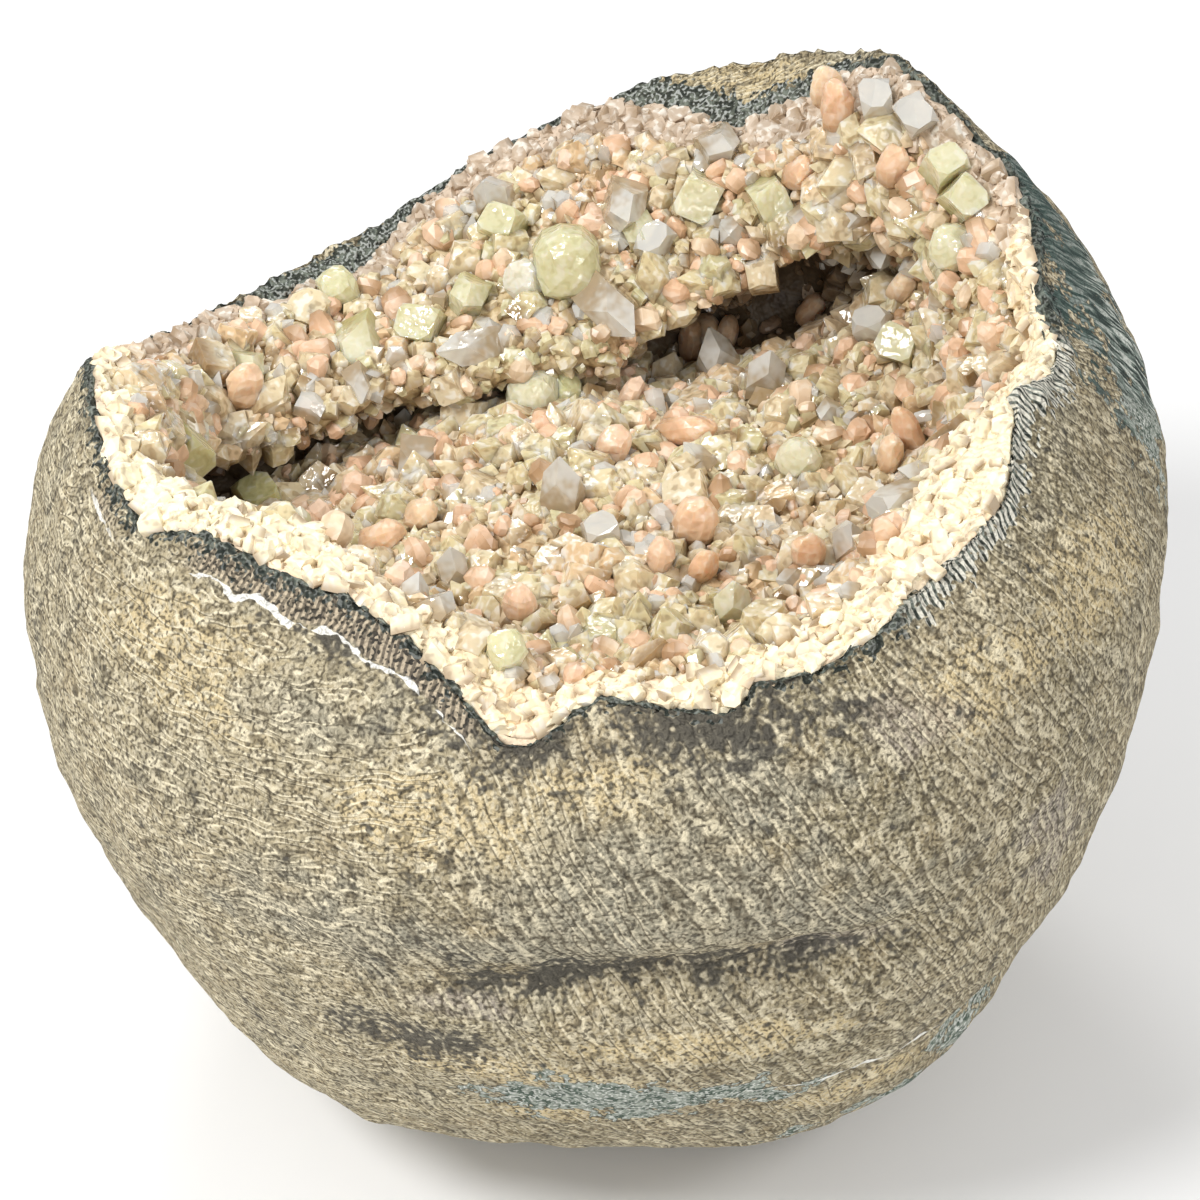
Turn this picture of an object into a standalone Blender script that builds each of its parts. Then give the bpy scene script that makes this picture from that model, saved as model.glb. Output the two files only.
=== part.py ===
"""Apophyllite and stilbite geode: a basalt nodule broken open at the top, lined with a crust of crystals.

Metres, +Z up. The front of the object, the side that the mouth tips towards, faces -Y.
The origin is at the middle of the footprint, on the surface that the nodule rests on.
Sections are given by azimuth in degrees, anticlockwise from +X, and in millimetres.
"""
import math

import bmesh
import bpy
import numpy as np
from mathutils import Matrix, Vector

MM = 0.001

# Place of the body's axis against the origin, which is under the middle of the bounding box
AXIS_X = 0.6
AXIS_Y = -1.2

# Outside of the nodule, every 30 degrees: radius of the widest ring and its height,
# rise of the full dome above that ring, and radius of the rounded underside's edge
OUTER_AZIMUTHS = list(range(0, 360, 30))
BELT_RADIUS = [175, 182, 184, 175, 166, 166, 176, 177, 175, 172, 175, 174]
BELT_HEIGHT = [200, 206, 208, 196, 178, 174, 182, 178, 176, 178, 184, 192]
DOME_RISE = [112, 128, 142, 132, 118, 114, 120, 116, 110, 106, 110, 114]
FOOT_EDGE_RADIUS = [74, 60, 55, 55, 55, 55, 52, 66, 56, 46, 72, 84]
LOWER_ROUNDNESS = [1.12, 1.05, 1.0, 1.0, 1.0, 1.05, 1.2, 1.2, 1.0, 1.0, 1.0, 1.10]
UPPER_ROUNDNESS = [1.20, 1.25, 0.95, 0.8, 0.8, 0.8, 0.8, 0.8, 0.8, 0.8, 0.8, 0.82]
FOOT_FLAT_RADIUS = 44.0
FOOT_EDGE_LIFT = 3.0

# Height of the broken rim by azimuth
RIM = [
    (0, 268), (10, 272), (20, 273), (30, 277), (38, 285), (45, 290), (52, 286), (60, 276),
    (68, 268), (75, 261), (83, 252), (90, 244), (98, 234), (105, 225), (112, 215), (120, 206),
    (128, 203), (135, 202), (142, 205), (150, 208), (158, 215), (165, 224), (172, 236), (180, 247),
    (188, 250), (195, 249), (203, 246), (210, 245), (218, 251), (225, 252), (232, 251), (240, 251),
    (248, 247), (255, 238), (260, 229), (263, 229), (270, 239), (278, 237), (283, 235), (286, 241),
    (293, 243), (300, 247), (308, 254), (315, 258), (323, 262), (330, 270), (336, 273), (341, 270),
    (346, 266), (353, 265),
]

# Rock showing on top of the break, from the rim in to the crust: its width and how far it falls
LIP = [
    (0, 4, 2), (40, 5, 3), (52, 7, 4), (66, 21, 14), (72, 25, 17), (88, 5, 3),
    (108, 5, 2), (122, 14, 6), (130, 13, 5), (144, 5, 2), (180, 4, 2), (225, 4, 2), (262, 6, 3),
    (280, 7, 3), (300, 4, 2), (335, 4, 2),
]

# Inside of the rock: radius of the bowl under the crust, and height of its lowest point
BOWL_RADIUS = [151, 158, 158, 150, 144, 150, 156, 152, 148, 146, 148, 147]
BOWL_FLOOR = 138.0
CRUST_GAP = 1.7

# Face of the crust by azimuth, as radius and height: upper wall, ledge tip, back of the hollow
# under the ledge, edge of the floor, and half way in to the middle of the floor
CRUST_SECTIONS = [
    (0, (128, 250), (118, 232), (112, 215), (92, 196), (50, 188)),
    (20, (128, 258), (121, 243), (118, 222), (100, 200), (55, 190)),
    (36, (128, 264), (124, 248), (130, 226), (104, 202), (56, 190)),
    (48, (124, 260), (113, 236), (130, 214), (106, 192), (58, 188)),
    (62, (122, 244), (101, 216), (128, 196), (108, 180), (60, 186)),
    (86, (132, 230), (80, 200), (112, 182), (96, 173), (55, 186)),
    (106, (132, 213), (78, 197), (108, 180), (94, 171), (54, 187)),
    (121, (132, 199), (81, 195), (112, 176), (94, 168), (52, 186)),
    (141, (132, 197), (98, 192), (122, 172), (100, 164), (52, 184)),
    (163, (136, 208), (117, 191), (127, 176), (106, 166), (56, 180)),
    (185, (138, 236), (124, 206), (127, 184), (106, 169), (56, 180)),
    (200, (134, 238), (124, 215), (124, 193), (106, 174), (56, 181)),
    (225, (118, 246), (112, 226), (112, 202), (98, 182), (54, 184)),
    (250, (122, 236), (115, 218), (111, 202), (96, 185), (52, 186)),
    (270, (130, 231), (122, 216), (115, 202), (98, 187), (52, 188)),
    (300, (128, 240), (121, 222), (114, 205), (98, 189), (52, 189)),
    (330, (116, 255), (111, 236), (109, 214), (94, 193), (51, 189)),
]
FLOOR_MIDDLE = 189.0
DRUSE_LUMPS = 2.2

# Facets
AZIMUTH_STEPS = 60
LOWER_ROWS = 9
UPPER_ROWS = 5
BOWL_ROWS = 5
CRUST_PLACES = [0, 1, 2, 3, 4, 4.7, 5.4, 6]

# Lumps and hollows on the outside: azimuth, height, half width round, half height, push outwards
OUTSIDE_LUMPS = [
    (268, 62, 60, 26, 6.0),
    (262, 104, 70, 9, -4.5),
    (300, 112, 30, 9, -3.5),
    (236, 84, 26, 10, -4.0),
    (222, 40, 28, 22, 4.0),
    (322, 52, 20, 26, 4.5),
    (318, 84, 12, 7, -6.0),
    (334, 128, 7, 6, -4.0),
    (200, 150, 26, 40, 2.0),
    (240, 170, 30, 26, 2.5),
    (296, 190, 26, 22, 2.0),
    (18, 150, 30, 40, 2.5),
    (62, 110, 34, 36, -3.0),
    (96, 160, 30, 30, 3.0),
    (128, 90, 34, 34, 3.0),
    (160, 120, 26, 26, -2.5),
]

# Crystals that stand out, as (azimuth, place on the section, size, kind): places run from 0 at
# the broken edge to 6 at the middle of the floor
BLOCK = "apophyllite block"
POINT = "apophyllite point"
SHEAF = "stilbite sheaf"
NAMED_CRYSTALS = [
    (100, 1.9, 24, BLOCK), (75, 1.2, 21, BLOCK), (66, 1.3, 17, BLOCK), (120, 2.0, 18, BLOCK),
    (143, 4.4, 17, BLOCK), (112, 4.2, 18, BLOCK), (105, 5.4, 15, BLOCK), (318, 4.1, 16, BLOCK),
    (345, 5.0, 17, BLOCK), (52, 4.5, 14, BLOCK), (42, 4.4, 14, BLOCK), (12, 3.6, 16, BLOCK),
    (30, 1.4, 18, BLOCK), (48, 1.6, 15, BLOCK), (205, 1.7, 14, BLOCK), (160, 1.4, 15, BLOCK),
    (90, 0.9, 14, BLOCK), (131, 1.2, 13, BLOCK), (228, 0.9, 19, BLOCK), (270, 5.2, 13, BLOCK),
    (50, 5.6, 20, SHEAF), (52, 0.9, 14, SHEAF), (64, 0.8, 13, SHEAF), (24, 2.2, 16, SHEAF),
    (34, 2.3, 13, SHEAF), (70, 2.1, 14, SHEAF), (76, 2.2, 13, SHEAF), (66, 3.7, 13, SHEAF),
    (60, 4.3, 13, SHEAF), (282, 5.0, 15, SHEAF), (356, 3.9, 18, SHEAF), (300, 4.7, 12, SHEAF),
    (316, 4.6, 12, SHEAF), (240, 4.8, 11, SHEAF), (150, 3.9, 12, SHEAF), (255, 4.3, 11, SHEAF),
]
SMALL_CRYSTALS = 124
SMALL_SIZE = (13.0, 22.0)
CRYSTAL_SPACING = 14.5
LARGEST_PATCH = 6000.0
ROOT_CLEARANCE = 2.5
SEED = 71


def periodic(stations, values, azimuth):
    """Smooth curve through values given round the circle (Catmull-Rom)."""
    azimuth = azimuth % 360.0
    count = len(stations)
    first = count - 1
    for index, station in enumerate(stations):
        if station <= azimuth:
            first = index
    if azimuth < stations[0]:
        azimuth += 360.0

    def place(index):
        return stations[index % count] + 360.0 * (index // count)

    def value(index):
        return values[index % count]

    if azimuth < place(first):
        azimuth += 360.0
    span = place(first + 1) - place(first)
    t = (azimuth - place(first)) / span
    slope_in = (value(first + 1) - value(first - 1)) / (place(first + 1) - place(first - 1)) * span
    slope_out = (value(first + 2) - value(first)) / (place(first + 2) - place(first)) * span
    return ((2 * t**3 - 3 * t**2 + 1) * value(first) + (t**3 - 2 * t**2 + t) * slope_in
            + (3 * t**2 - 2 * t**3) * value(first + 1) + (t**3 - t**2) * slope_out)


def straight(table, column, azimuth):
    """Straight lines through a table's values round the circle, for what breaks in corners."""
    stations = [row[0] for row in table]
    values = [row[column] for row in table]
    return float(np.interp(azimuth % 360.0, stations, values, period=360.0))


def turn_difference(azimuth, other):
    """Signed difference of two azimuths, between -180 and 180 degrees."""
    return (azimuth - other + 180.0) % 360.0 - 180.0


def roughness(azimuth, height):
    """Broad unevenness of the rock in millimetres: three crossing waves of unlike lengths."""
    a = math.radians(azimuth)
    return (1.2 * math.sin(5 * a + 0.031 * height) * math.sin(0.047 * height + 1.3)
            + 0.8 * math.sin(11 * a - 0.052 * height + 2.0)
            + 0.5 * math.sin(19 * a + 0.11 * height + 0.7))


def outside_point(azimuth, rise):
    """Radius and height on the outside; rise is -1 at the underside's edge, 0 at the belt, 1 on top."""
    belt = periodic(OUTER_AZIMUTHS, BELT_RADIUS, azimuth)
    belt_height = periodic(OUTER_AZIMUTHS, BELT_HEIGHT, azimuth)
    angle = rise * math.pi / 2
    if rise > 0:
        power = periodic(OUTER_AZIMUTHS, UPPER_ROUNDNESS, azimuth)
        radius = belt * math.cos(angle) ** power
        height = belt_height + periodic(OUTER_AZIMUTHS, DOME_RISE, azimuth) * math.sin(angle)
    else:
        edge = periodic(OUTER_AZIMUTHS, FOOT_EDGE_RADIUS, azimuth)
        power = periodic(OUTER_AZIMUTHS, LOWER_ROUNDNESS, azimuth)
        radius = edge + (belt - edge) * max(math.cos(angle), 0.0) ** power
        height = FOOT_EDGE_LIFT + (belt_height - FOOT_EDGE_LIFT) * (1 + math.sin(angle))
    return radius, height


def rim_rise(azimuth):
    """The rise at which the outside reaches the broken rim."""
    belt_height = periodic(OUTER_AZIMUTHS, BELT_HEIGHT, azimuth)
    dome = periodic(OUTER_AZIMUTHS, DOME_RISE, azimuth)
    rim = straight(RIM, 1, azimuth)
    return math.asin((rim - belt_height) / dome) * 2 / math.pi


def outside_surface(azimuth, rise):
    """Outside point with the lumps, hollows and broad roughness of the weathered rock."""
    radius, height = outside_point(azimuth, rise)
    push = 0.0
    for lump_azimuth, lump_height, half_turn, half_height, lump_push in OUTSIDE_LUMPS:
        u = turn_difference(azimuth, lump_azimuth) / half_turn
        v = (height - lump_height) / half_height
        push += lump_push * math.exp(-u * u - v * v)
    fade = min(1.0, height / 40.0)
    return radius + push + fade * roughness(azimuth, height), height


def lip_point(azimuth):
    """Where the rock of the break meets the crust."""
    radius, height = outside_surface(azimuth, rim_rise(azimuth))
    return radius - straight(LIP, 1, azimuth), height - straight(LIP, 2, azimuth)


def bowl_point(azimuth, share, inset):
    """Inside of the rock, from the lip (0) to the lowest point (1), moved in by an inset."""
    lip_radius, lip_height = lip_point(azimuth)
    belly = periodic(OUTER_AZIMUTHS, BOWL_RADIUS, azimuth)
    angle = share * math.pi / 2
    widen = 1.0 - max(0.0, 1.0 - share / 0.3) ** 2
    radius = (lip_radius + (belly - lip_radius) * widen) * math.cos(angle) ** 0.45
    height = lip_height + (BOWL_FLOOR - lip_height) * math.sin(angle)
    return max(radius - inset, 0.0), height + inset * share


def crust_point(azimuth, place):
    """Face of the crust, from the broken edge (0) to the middle of the floor (6)."""
    stations = [section[0] for section in CRUST_SECTIONS]
    lip_radius, lip_height = bowl_point(azimuth, 0.0, CRUST_GAP)
    points = [(lip_radius, lip_height)]
    for index in range(1, 6):
        radius = periodic(stations, [section[index][0] for section in CRUST_SECTIONS], azimuth)
        height = periodic(stations, [section[index][1] for section in CRUST_SECTIONS], azimuth)
        points.append((radius, height))
    points.append((0.0, FLOOR_MIDDLE))
    index = min(int(place), 5)
    t = place - index
    radius = points[index][0] * (1 - t) + points[index + 1][0] * t
    height = points[index][1] * (1 - t) + points[index + 1][1] * t
    lump = DRUSE_LUMPS * min(place, 1.0) * min(6.0 - place, 1.0)
    x = radius * math.cos(math.radians(azimuth))
    y = radius * math.sin(math.radians(azimuth))
    radius += lump * math.sin(x / 8.0 + height / 11.0) * math.sin(y / 9.0 + 1.0)
    height += lump * math.sin(x / 10.0 + 2.0) * math.sin(y / 7.5 - height / 13.0)
    return radius, height


def to_world(azimuth, radius, height):
    """Point in metres from an azimuth in degrees, and a radius and height in millimetres."""
    angle = math.radians(azimuth)
    return Vector((AXIS_X + radius * math.cos(angle), AXIS_Y + radius * math.sin(angle), height)) * MM


def clear_scene():
    """Start from a scene with no objects."""
    for existing in list(bpy.data.objects):
        bpy.data.objects.remove(existing, do_unlink=True)


def make_collection(name):
    """A collection in the scene."""
    collection = bpy.data.collections.new(name)
    bpy.context.scene.collection.children.link(collection)
    return collection


def make_material(name, colour, roughness_value):
    """A Principled material of one colour."""
    material = bpy.data.materials.new(name)
    material.use_nodes = True
    shader = material.node_tree.nodes["Principled BSDF"]
    shader.inputs["Base Color"].default_value = (*colour, 1.0)
    shader.inputs["Roughness"].default_value = roughness_value
    shader.inputs["Metallic"].default_value = 0.0
    return material


def rings_from_sphere(ring_points):
    """A globe's rings moved to ring_points(row, azimuth), from the bottom pole to the top pole.

    ring_points gives the number of rings between the poles as its attribute rings.
    """
    mesh = bmesh.new()
    bmesh.ops.create_uvsphere(
        mesh,
        u_segments=AZIMUTH_STEPS,
        v_segments=ring_points.rings + 1,
        radius=1.0,
    )
    for vertex in mesh.verts:
        polar = math.acos(max(-1.0, min(1.0, -vertex.co.z)))
        row = round(polar / math.pi * (ring_points.rings + 1))
        azimuth = math.degrees(math.atan2(vertex.co.y, vertex.co.x)) % 360.0
        step = round(azimuth * AZIMUTH_STEPS / 360.0) % AZIMUTH_STEPS
        vertex.co = ring_points(row, step * 360.0 / AZIMUTH_STEPS)
    return mesh


def object_from_bmesh(mesh, name, collection, material):
    """Finish a bmesh as an object with one material."""
    bmesh.ops.recalc_face_normals(mesh, faces=mesh.faces)
    data = bpy.data.meshes.new(name)
    mesh.to_mesh(data)
    mesh.free()
    data.materials.append(material)
    result = bpy.data.objects.new(name, data)
    collection.objects.link(result)
    return result


def rock_ring(row, azimuth):
    """One point of the rock, up the outside, over the lip and down the bowl."""
    if row == 0:
        return to_world(0.0, 0.0, 0.0)
    if row == 1:
        return to_world(azimuth, FOOT_FLAT_RADIUS, 0.0)
    if row <= 2 + LOWER_ROWS:
        rise = -1.0 + (row - 2) / LOWER_ROWS
        return to_world(azimuth, *outside_surface(azimuth, rise))
    if row <= 2 + LOWER_ROWS + UPPER_ROWS:
        rise = rim_rise(azimuth) * (row - 2 - LOWER_ROWS) / UPPER_ROWS
        return to_world(azimuth, *outside_surface(azimuth, rise))
    share = (row - 3 - LOWER_ROWS - UPPER_ROWS) / BOWL_ROWS
    if share >= 1.0:
        return to_world(0.0, 0.0, BOWL_FLOOR)
    return to_world(azimuth, *bowl_point(azimuth, share, 0.0))


rock_ring.rings = 2 + LOWER_ROWS + UPPER_ROWS + BOWL_ROWS


def crust_ring(row, azimuth):
    """One point of the crust, from the bowl's lowest point up to the edge and back down its face."""
    if row < BOWL_ROWS:
        if row == 0:
            return to_world(0.0, 0.0, BOWL_FLOOR + CRUST_GAP)
        return to_world(azimuth, *bowl_point(azimuth, 1.0 - row / BOWL_ROWS, CRUST_GAP))
    return to_world(azimuth, *crust_point(azimuth, CRUST_PLACES[row - BOWL_ROWS]))


crust_ring.rings = BOWL_ROWS + len(CRUST_PLACES) - 2


def crust_frame(azimuth, place):
    """A point on the crust's face and the direction out of it."""
    step = 0.15
    here = to_world(azimuth, *crust_point(azimuth, place))
    along = to_world(azimuth, *crust_point(azimuth, min(place + step, 6.0)))
    along -= to_world(azimuth, *crust_point(azimuth, max(place - step, 0.0)))
    across = to_world(azimuth + 2.0, *crust_point(azimuth + 2.0, place))
    across -= to_world(azimuth - 2.0, *crust_point(azimuth - 2.0, place))
    return here, across.cross(along).normalized()


def patch_area(azimuth, place):
    """Area that a unit of place and a radian of azimuth cover there, in square millimetres."""
    step = 0.1
    inner = crust_point(azimuth, min(place + step, 6.0))
    outer = crust_point(azimuth, max(place - step, 0.0))
    run = math.hypot(inner[0] - outer[0], inner[1] - outer[1]) / (2 * step)
    return run * (inner[0] + outer[0]) / 2


def bowl_radius(azimuth, height):
    """Radius of the rock's inside at a height."""
    lip_height = lip_point(azimuth)[1]
    share = math.asin(max(0.0, min(1.0, (lip_height - height) / (lip_height - BOWL_FLOOR)))) * 2 / math.pi
    return bowl_point(azimuth, share, 0.0)[0]


def overshoot(mesh):
    """How far the crystal's corners come too near the rock, in millimetres."""
    farthest = 0.0
    for vertex in mesh.verts:
        x = vertex.co.x / MM - AXIS_X
        y = vertex.co.y / MM - AXIS_Y
        azimuth = math.degrees(math.atan2(y, x)) % 360.0
        room = bowl_radius(azimuth, vertex.co.z / MM) - ROOT_CLEARANCE
        farthest = max(farthest, math.hypot(x, y) - room)
    return farthest


def block_mesh(size):
    """Apophyllite: a squarish block with a low pyramid, four cut corners and its root sunk in."""
    mesh = bmesh.new()
    bmesh.ops.create_cone(
        mesh,
        cap_ends=True,
        segments=4,
        radius1=0.62 * size,
        radius2=0.30 * size,
        depth=0.45 * size,
        matrix=Matrix.Translation((0, 0, 0.50 * size)),
    )
    bmesh.ops.create_cone(
        mesh,
        cap_ends=True,
        segments=4,
        radius1=0.52 * size,
        radius2=0.62 * size,
        depth=0.70 * size,
        matrix=Matrix.Translation((0, 0, -0.075 * size)),
    )
    bmesh.ops.remove_doubles(mesh, verts=mesh.verts, dist=0.0001 * size)
    inner = [face for face in mesh.faces if abs(face.calc_center_median().z - 0.275 * size) < 0.01 * size]
    bmesh.ops.delete(mesh, geom=inner, context="FACES_ONLY")
    return mesh


def point_mesh(size):
    """A small apophyllite point: a four-sided pyramid with a blunt tip, its foot sunk in."""
    mesh = bmesh.new()
    bmesh.ops.create_cone(
        mesh,
        cap_ends=True,
        segments=4,
        radius1=0.60 * size,
        radius2=0.18 * size,
        depth=0.95 * size,
        matrix=Matrix.Translation((0, 0, 0.08 * size)),
    )
    return mesh


def sheaf_mesh(size):
    """Stilbite: a plump lens, longer than wide, with a flat blade's outline."""
    mesh = bmesh.new()
    bmesh.ops.create_uvsphere(
        mesh,
        u_segments=6,
        v_segments=3,
        radius=0.5 * size,
        matrix=Matrix.Diagonal((1.35, 0.75, 0.95, 1.0)),
    )
    return mesh


def add_crystal(collection, material, azimuth, place, size, kind, generator, number):
    """Set one crystal on the crust's face, leaning a little, and add it to the cutters."""
    here, normal = crust_frame(azimuth, place)
    lean = Vector(generator.normal(0.0, 0.25, 3))
    axis = (normal + lean).normalized()
    turn = Matrix.Rotation(generator.uniform(0.0, 2 * math.pi), 4, "Z")
    length = size * MM
    if kind == BLOCK:
        mesh = block_mesh(length)
    elif kind == POINT:
        mesh = point_mesh(length)
    else:
        mesh = sheaf_mesh(length)
    rise = 0.06 * length
    pose = Matrix.Translation(here + axis * rise) @ axis.to_track_quat("Z", "Y").to_matrix().to_4x4() @ turn
    bmesh.ops.transform(mesh, matrix=pose, verts=mesh.verts)
    angle = math.radians(azimuth)
    inwards = Vector((-math.cos(angle), -math.sin(angle), 0.0)) * overshoot(mesh) * MM
    bmesh.ops.translate(mesh, vec=inwards, verts=mesh.verts)
    crystal = object_from_bmesh(mesh, f"crystal_{number:03d}", collection, material)
    crystal.hide_render = True
    crystal.display_type = "WIRE"
    return crystal


def crystal_list(generator):
    """The named crystals, then small ones spread over the face with room between them."""
    crystals = list(NAMED_CRYSTALS)
    taken = [to_world(azimuth, *crust_point(azimuth, place)) for azimuth, place, size, kind in crystals]
    tries = 0
    while len(crystals) < len(NAMED_CRYSTALS) + SMALL_CRYSTALS and tries < 20000:
        tries += 1
        azimuth = generator.uniform(0.0, 360.0)
        place = generator.uniform(0.6, 5.9)
        size = generator.uniform(*SMALL_SIZE)
        if generator.uniform() > patch_area(azimuth, place) / LARGEST_PATCH:
            continue
        here = to_world(azimuth, *crust_point(azimuth, place))
        if min((here - other).length for other in taken) < CRYSTAL_SPACING * MM:
            continue
        kind = SHEAF if generator.uniform() < 0.3 else POINT
        crystals.append((azimuth, place, size, kind))
        taken.append(here)
    return crystals


def build_rock(collection):
    """The basalt shell."""
    basalt = make_material("weathered basalt", (0.30, 0.25, 0.18), 0.9)
    mesh = rings_from_sphere(rock_ring)
    bmesh.ops.triangulate(mesh, faces=mesh.faces)
    return object_from_bmesh(mesh, "rock_shell", collection, basalt)


def build_crust(collection, cutters):
    """The crust with its standing crystals joined on."""
    crystal_colour = make_material("apophyllite and stilbite", (0.80, 0.66, 0.48), 0.35)
    mesh = rings_from_sphere(crust_ring)
    crust = object_from_bmesh(mesh, "crystal_crust", collection, crystal_colour)
    generator = np.random.default_rng(SEED)
    for number, crystal in enumerate(crystal_list(generator)):
        azimuth, place, size, kind = crystal
        add_crystal(cutters, crystal_colour, azimuth, place, size, kind, generator, number)
    union = crust.modifiers.new("join crystals", "BOOLEAN")
    union.operation = "UNION"
    union.operand_type = "COLLECTION"
    union.collection = cutters
    union.solver = "EXACT"
    union.use_self = True
    return crust


def main():
    clear_scene()
    geode = make_collection("geode")
    crystals = make_collection("crystals to join")
    build_rock(geode)
    build_crust(geode, crystals)


main()
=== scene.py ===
import math

import bpy
import numpy as np
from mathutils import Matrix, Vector
from mathutils.bvhtree import BVHTree


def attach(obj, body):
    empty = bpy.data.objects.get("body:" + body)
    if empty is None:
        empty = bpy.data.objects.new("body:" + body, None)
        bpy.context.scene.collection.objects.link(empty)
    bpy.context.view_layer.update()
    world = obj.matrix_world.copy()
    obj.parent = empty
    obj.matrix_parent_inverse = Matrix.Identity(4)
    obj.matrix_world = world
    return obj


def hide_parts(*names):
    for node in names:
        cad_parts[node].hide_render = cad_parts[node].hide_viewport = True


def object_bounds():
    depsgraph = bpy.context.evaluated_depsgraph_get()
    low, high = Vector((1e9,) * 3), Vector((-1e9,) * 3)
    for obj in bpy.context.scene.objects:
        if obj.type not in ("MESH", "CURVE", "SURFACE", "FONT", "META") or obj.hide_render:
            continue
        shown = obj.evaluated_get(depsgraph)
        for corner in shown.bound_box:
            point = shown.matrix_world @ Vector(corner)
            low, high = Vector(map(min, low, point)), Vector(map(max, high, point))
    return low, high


# Sizes are in millimetres and azimuths in degrees anticlockwise from +X; the front of the
# geode faces -Y. Metres come in only where points go into a mesh.
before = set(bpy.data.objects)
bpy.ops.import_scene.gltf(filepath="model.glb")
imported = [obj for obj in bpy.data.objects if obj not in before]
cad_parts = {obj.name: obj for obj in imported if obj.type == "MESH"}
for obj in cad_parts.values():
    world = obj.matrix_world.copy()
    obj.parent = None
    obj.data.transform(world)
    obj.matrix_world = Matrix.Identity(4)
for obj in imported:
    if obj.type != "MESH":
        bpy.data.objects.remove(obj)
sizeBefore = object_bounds()
mm = 0.001
highest = sizeBefore[1][2] / mm - 0.3
bodyAxis = np.array([0.6, -1.2, 0.0])

# The nodule's form, as the frame was made: belt, dome, underside, broken rim and lip
body = {
    "azimuths": np.arange(0, 360, 30),
    "belt radius": [175, 182, 184, 175, 166, 166, 176, 177, 175, 172, 175, 174],
    "belt height": [200, 206, 208, 196, 178, 174, 182, 178, 176, 178, 184, 192],
    "dome rise": [112, 128, 142, 132, 118, 114, 120, 116, 110, 106, 110, 114],
    "foot radius": [74, 60, 55, 55, 55, 55, 52, 66, 56, 46, 72, 84],
    "lower roundness": [1.12, 1.05, 1.0, 1.0, 1.0, 1.05, 1.2, 1.2, 1.0, 1.0, 1.0, 1.10],
    "upper roundness": [1.20, 1.25, 0.95, 0.8, 0.8, 0.8, 0.8, 0.8, 0.8, 0.8, 0.8, 0.82],
    "flat radius": 44.0,
    "foot lift": 3.0,
}
rimTable = [
    (0, 268), (10, 272), (20, 273), (30, 277), (38, 285), (45, 290), (52, 286), (60, 276),
    (68, 268), (75, 261), (83, 252), (90, 244), (98, 234), (105, 225), (112, 215), (120, 206),
    (128, 203), (135, 202), (142, 205), (150, 208), (158, 215), (165, 224), (172, 236), (180, 247),
    (188, 250), (195, 249), (203, 246), (210, 245), (218, 251), (225, 252), (232, 251), (240, 251),
    (248, 247), (255, 238), (260, 229), (263, 229), (270, 239), (278, 237), (283, 235), (286, 241),
    (293, 243), (300, 247), (308, 254), (315, 258), (323, 262), (330, 270), (336, 273), (341, 270),
    (346, 266), (353, 265),
]
lipTable = [
    (0, 4, 2), (40, 5, 3), (52, 7, 4), (66, 21, 14), (72, 25, 17), (88, 5, 3),
    (108, 5, 2), (122, 14, 6), (130, 13, 5), (144, 5, 2), (180, 4, 2), (225, 4, 2), (262, 6, 3),
    (280, 7, 3), (300, 4, 2), (335, 4, 2),
]
# Lumps and hollows of the outside: azimuth, height, half width round, half height, push
lumps = [
    (272, 118, 34, 22, 5.0), (262, 150, 14, 8, -5.0), (276, 158, 14, 8, -6.0),
    (290, 155, 12, 8, -5.0), (252, 122, 10, 14, -4.0), (275, 192, 30, 20, 2.0),
    (236, 105, 24, 26, -3.5), (222, 48, 28, 24, 3.0), (319, 79, 10, 12, -3.0),
    (330, 84, 12, 9, -6.0), (200, 150, 26, 40, 2.0), (240, 176, 30, 26, 2.0),
    (18, 150, 30, 40, 2.5), (62, 110, 34, 36, -3.0), (96, 160, 30, 30, 3.0),
    (128, 90, 34, 34, 3.0), (160, 120, 26, 26, -2.5),
]
# Face of the crust: upper wall, ledge tip, back of the hollow, floor's edge, half way in
crustSections = [
    (0, (128, 250), (118, 232), (112, 215), (92, 196), (50, 188)),
    (20, (128, 258), (121, 243), (118, 222), (100, 200), (55, 190)),
    (36, (128, 264), (124, 248), (130, 226), (104, 202), (56, 190)),
    (48, (124, 260), (113, 236), (130, 214), (106, 192), (58, 188)),
    (62, (122, 244), (101, 216), (128, 196), (108, 180), (60, 186)),
    (86, (132, 230), (80, 200), (112, 182), (96, 173), (55, 186)),
    (106, (132, 213), (78, 197), (108, 180), (94, 171), (54, 187)),
    (121, (132, 199), (81, 195), (112, 176), (94, 168), (52, 186)),
    (141, (132, 197), (98, 192), (122, 172), (100, 164), (52, 184)),
    (163, (136, 208), (117, 191), (127, 176), (106, 166), (56, 180)),
    (185, (138, 236), (124, 206), (127, 184), (106, 169), (56, 180)),
    (200, (134, 238), (124, 215), (124, 193), (106, 174), (56, 181)),
    (225, (118, 246), (112, 226), (112, 202), (98, 182), (54, 184)),
    (250, (122, 236), (115, 218), (111, 202), (96, 185), (52, 186)),
    (270, (130, 231), (122, 216), (115, 202), (98, 187), (52, 188)),
    (300, (128, 240), (121, 222), (114, 205), (98, 189), (52, 189)),
    (330, (116, 255), (111, 236), (109, 214), (94, 193), (51, 189)),
]
floorMiddle = 189.0
bowl = {
    "radius": [151, 158, 158, 150, 144, 150, 156, 152, 148, 146, 148, 147],
    "floor": 138.0,
}

# The photograph's camera: a long lens looking along +Y and down, aimed near the middle
view = {
    "elevation": 38.0,
    "distance": 1100.0,
    "target": np.array([0.6, -1.2, 158.0]),
    "pixels wide": 1200.0,
    "lens in pixels": 3500.0,
    "sensor": 36.0,
}


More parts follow.
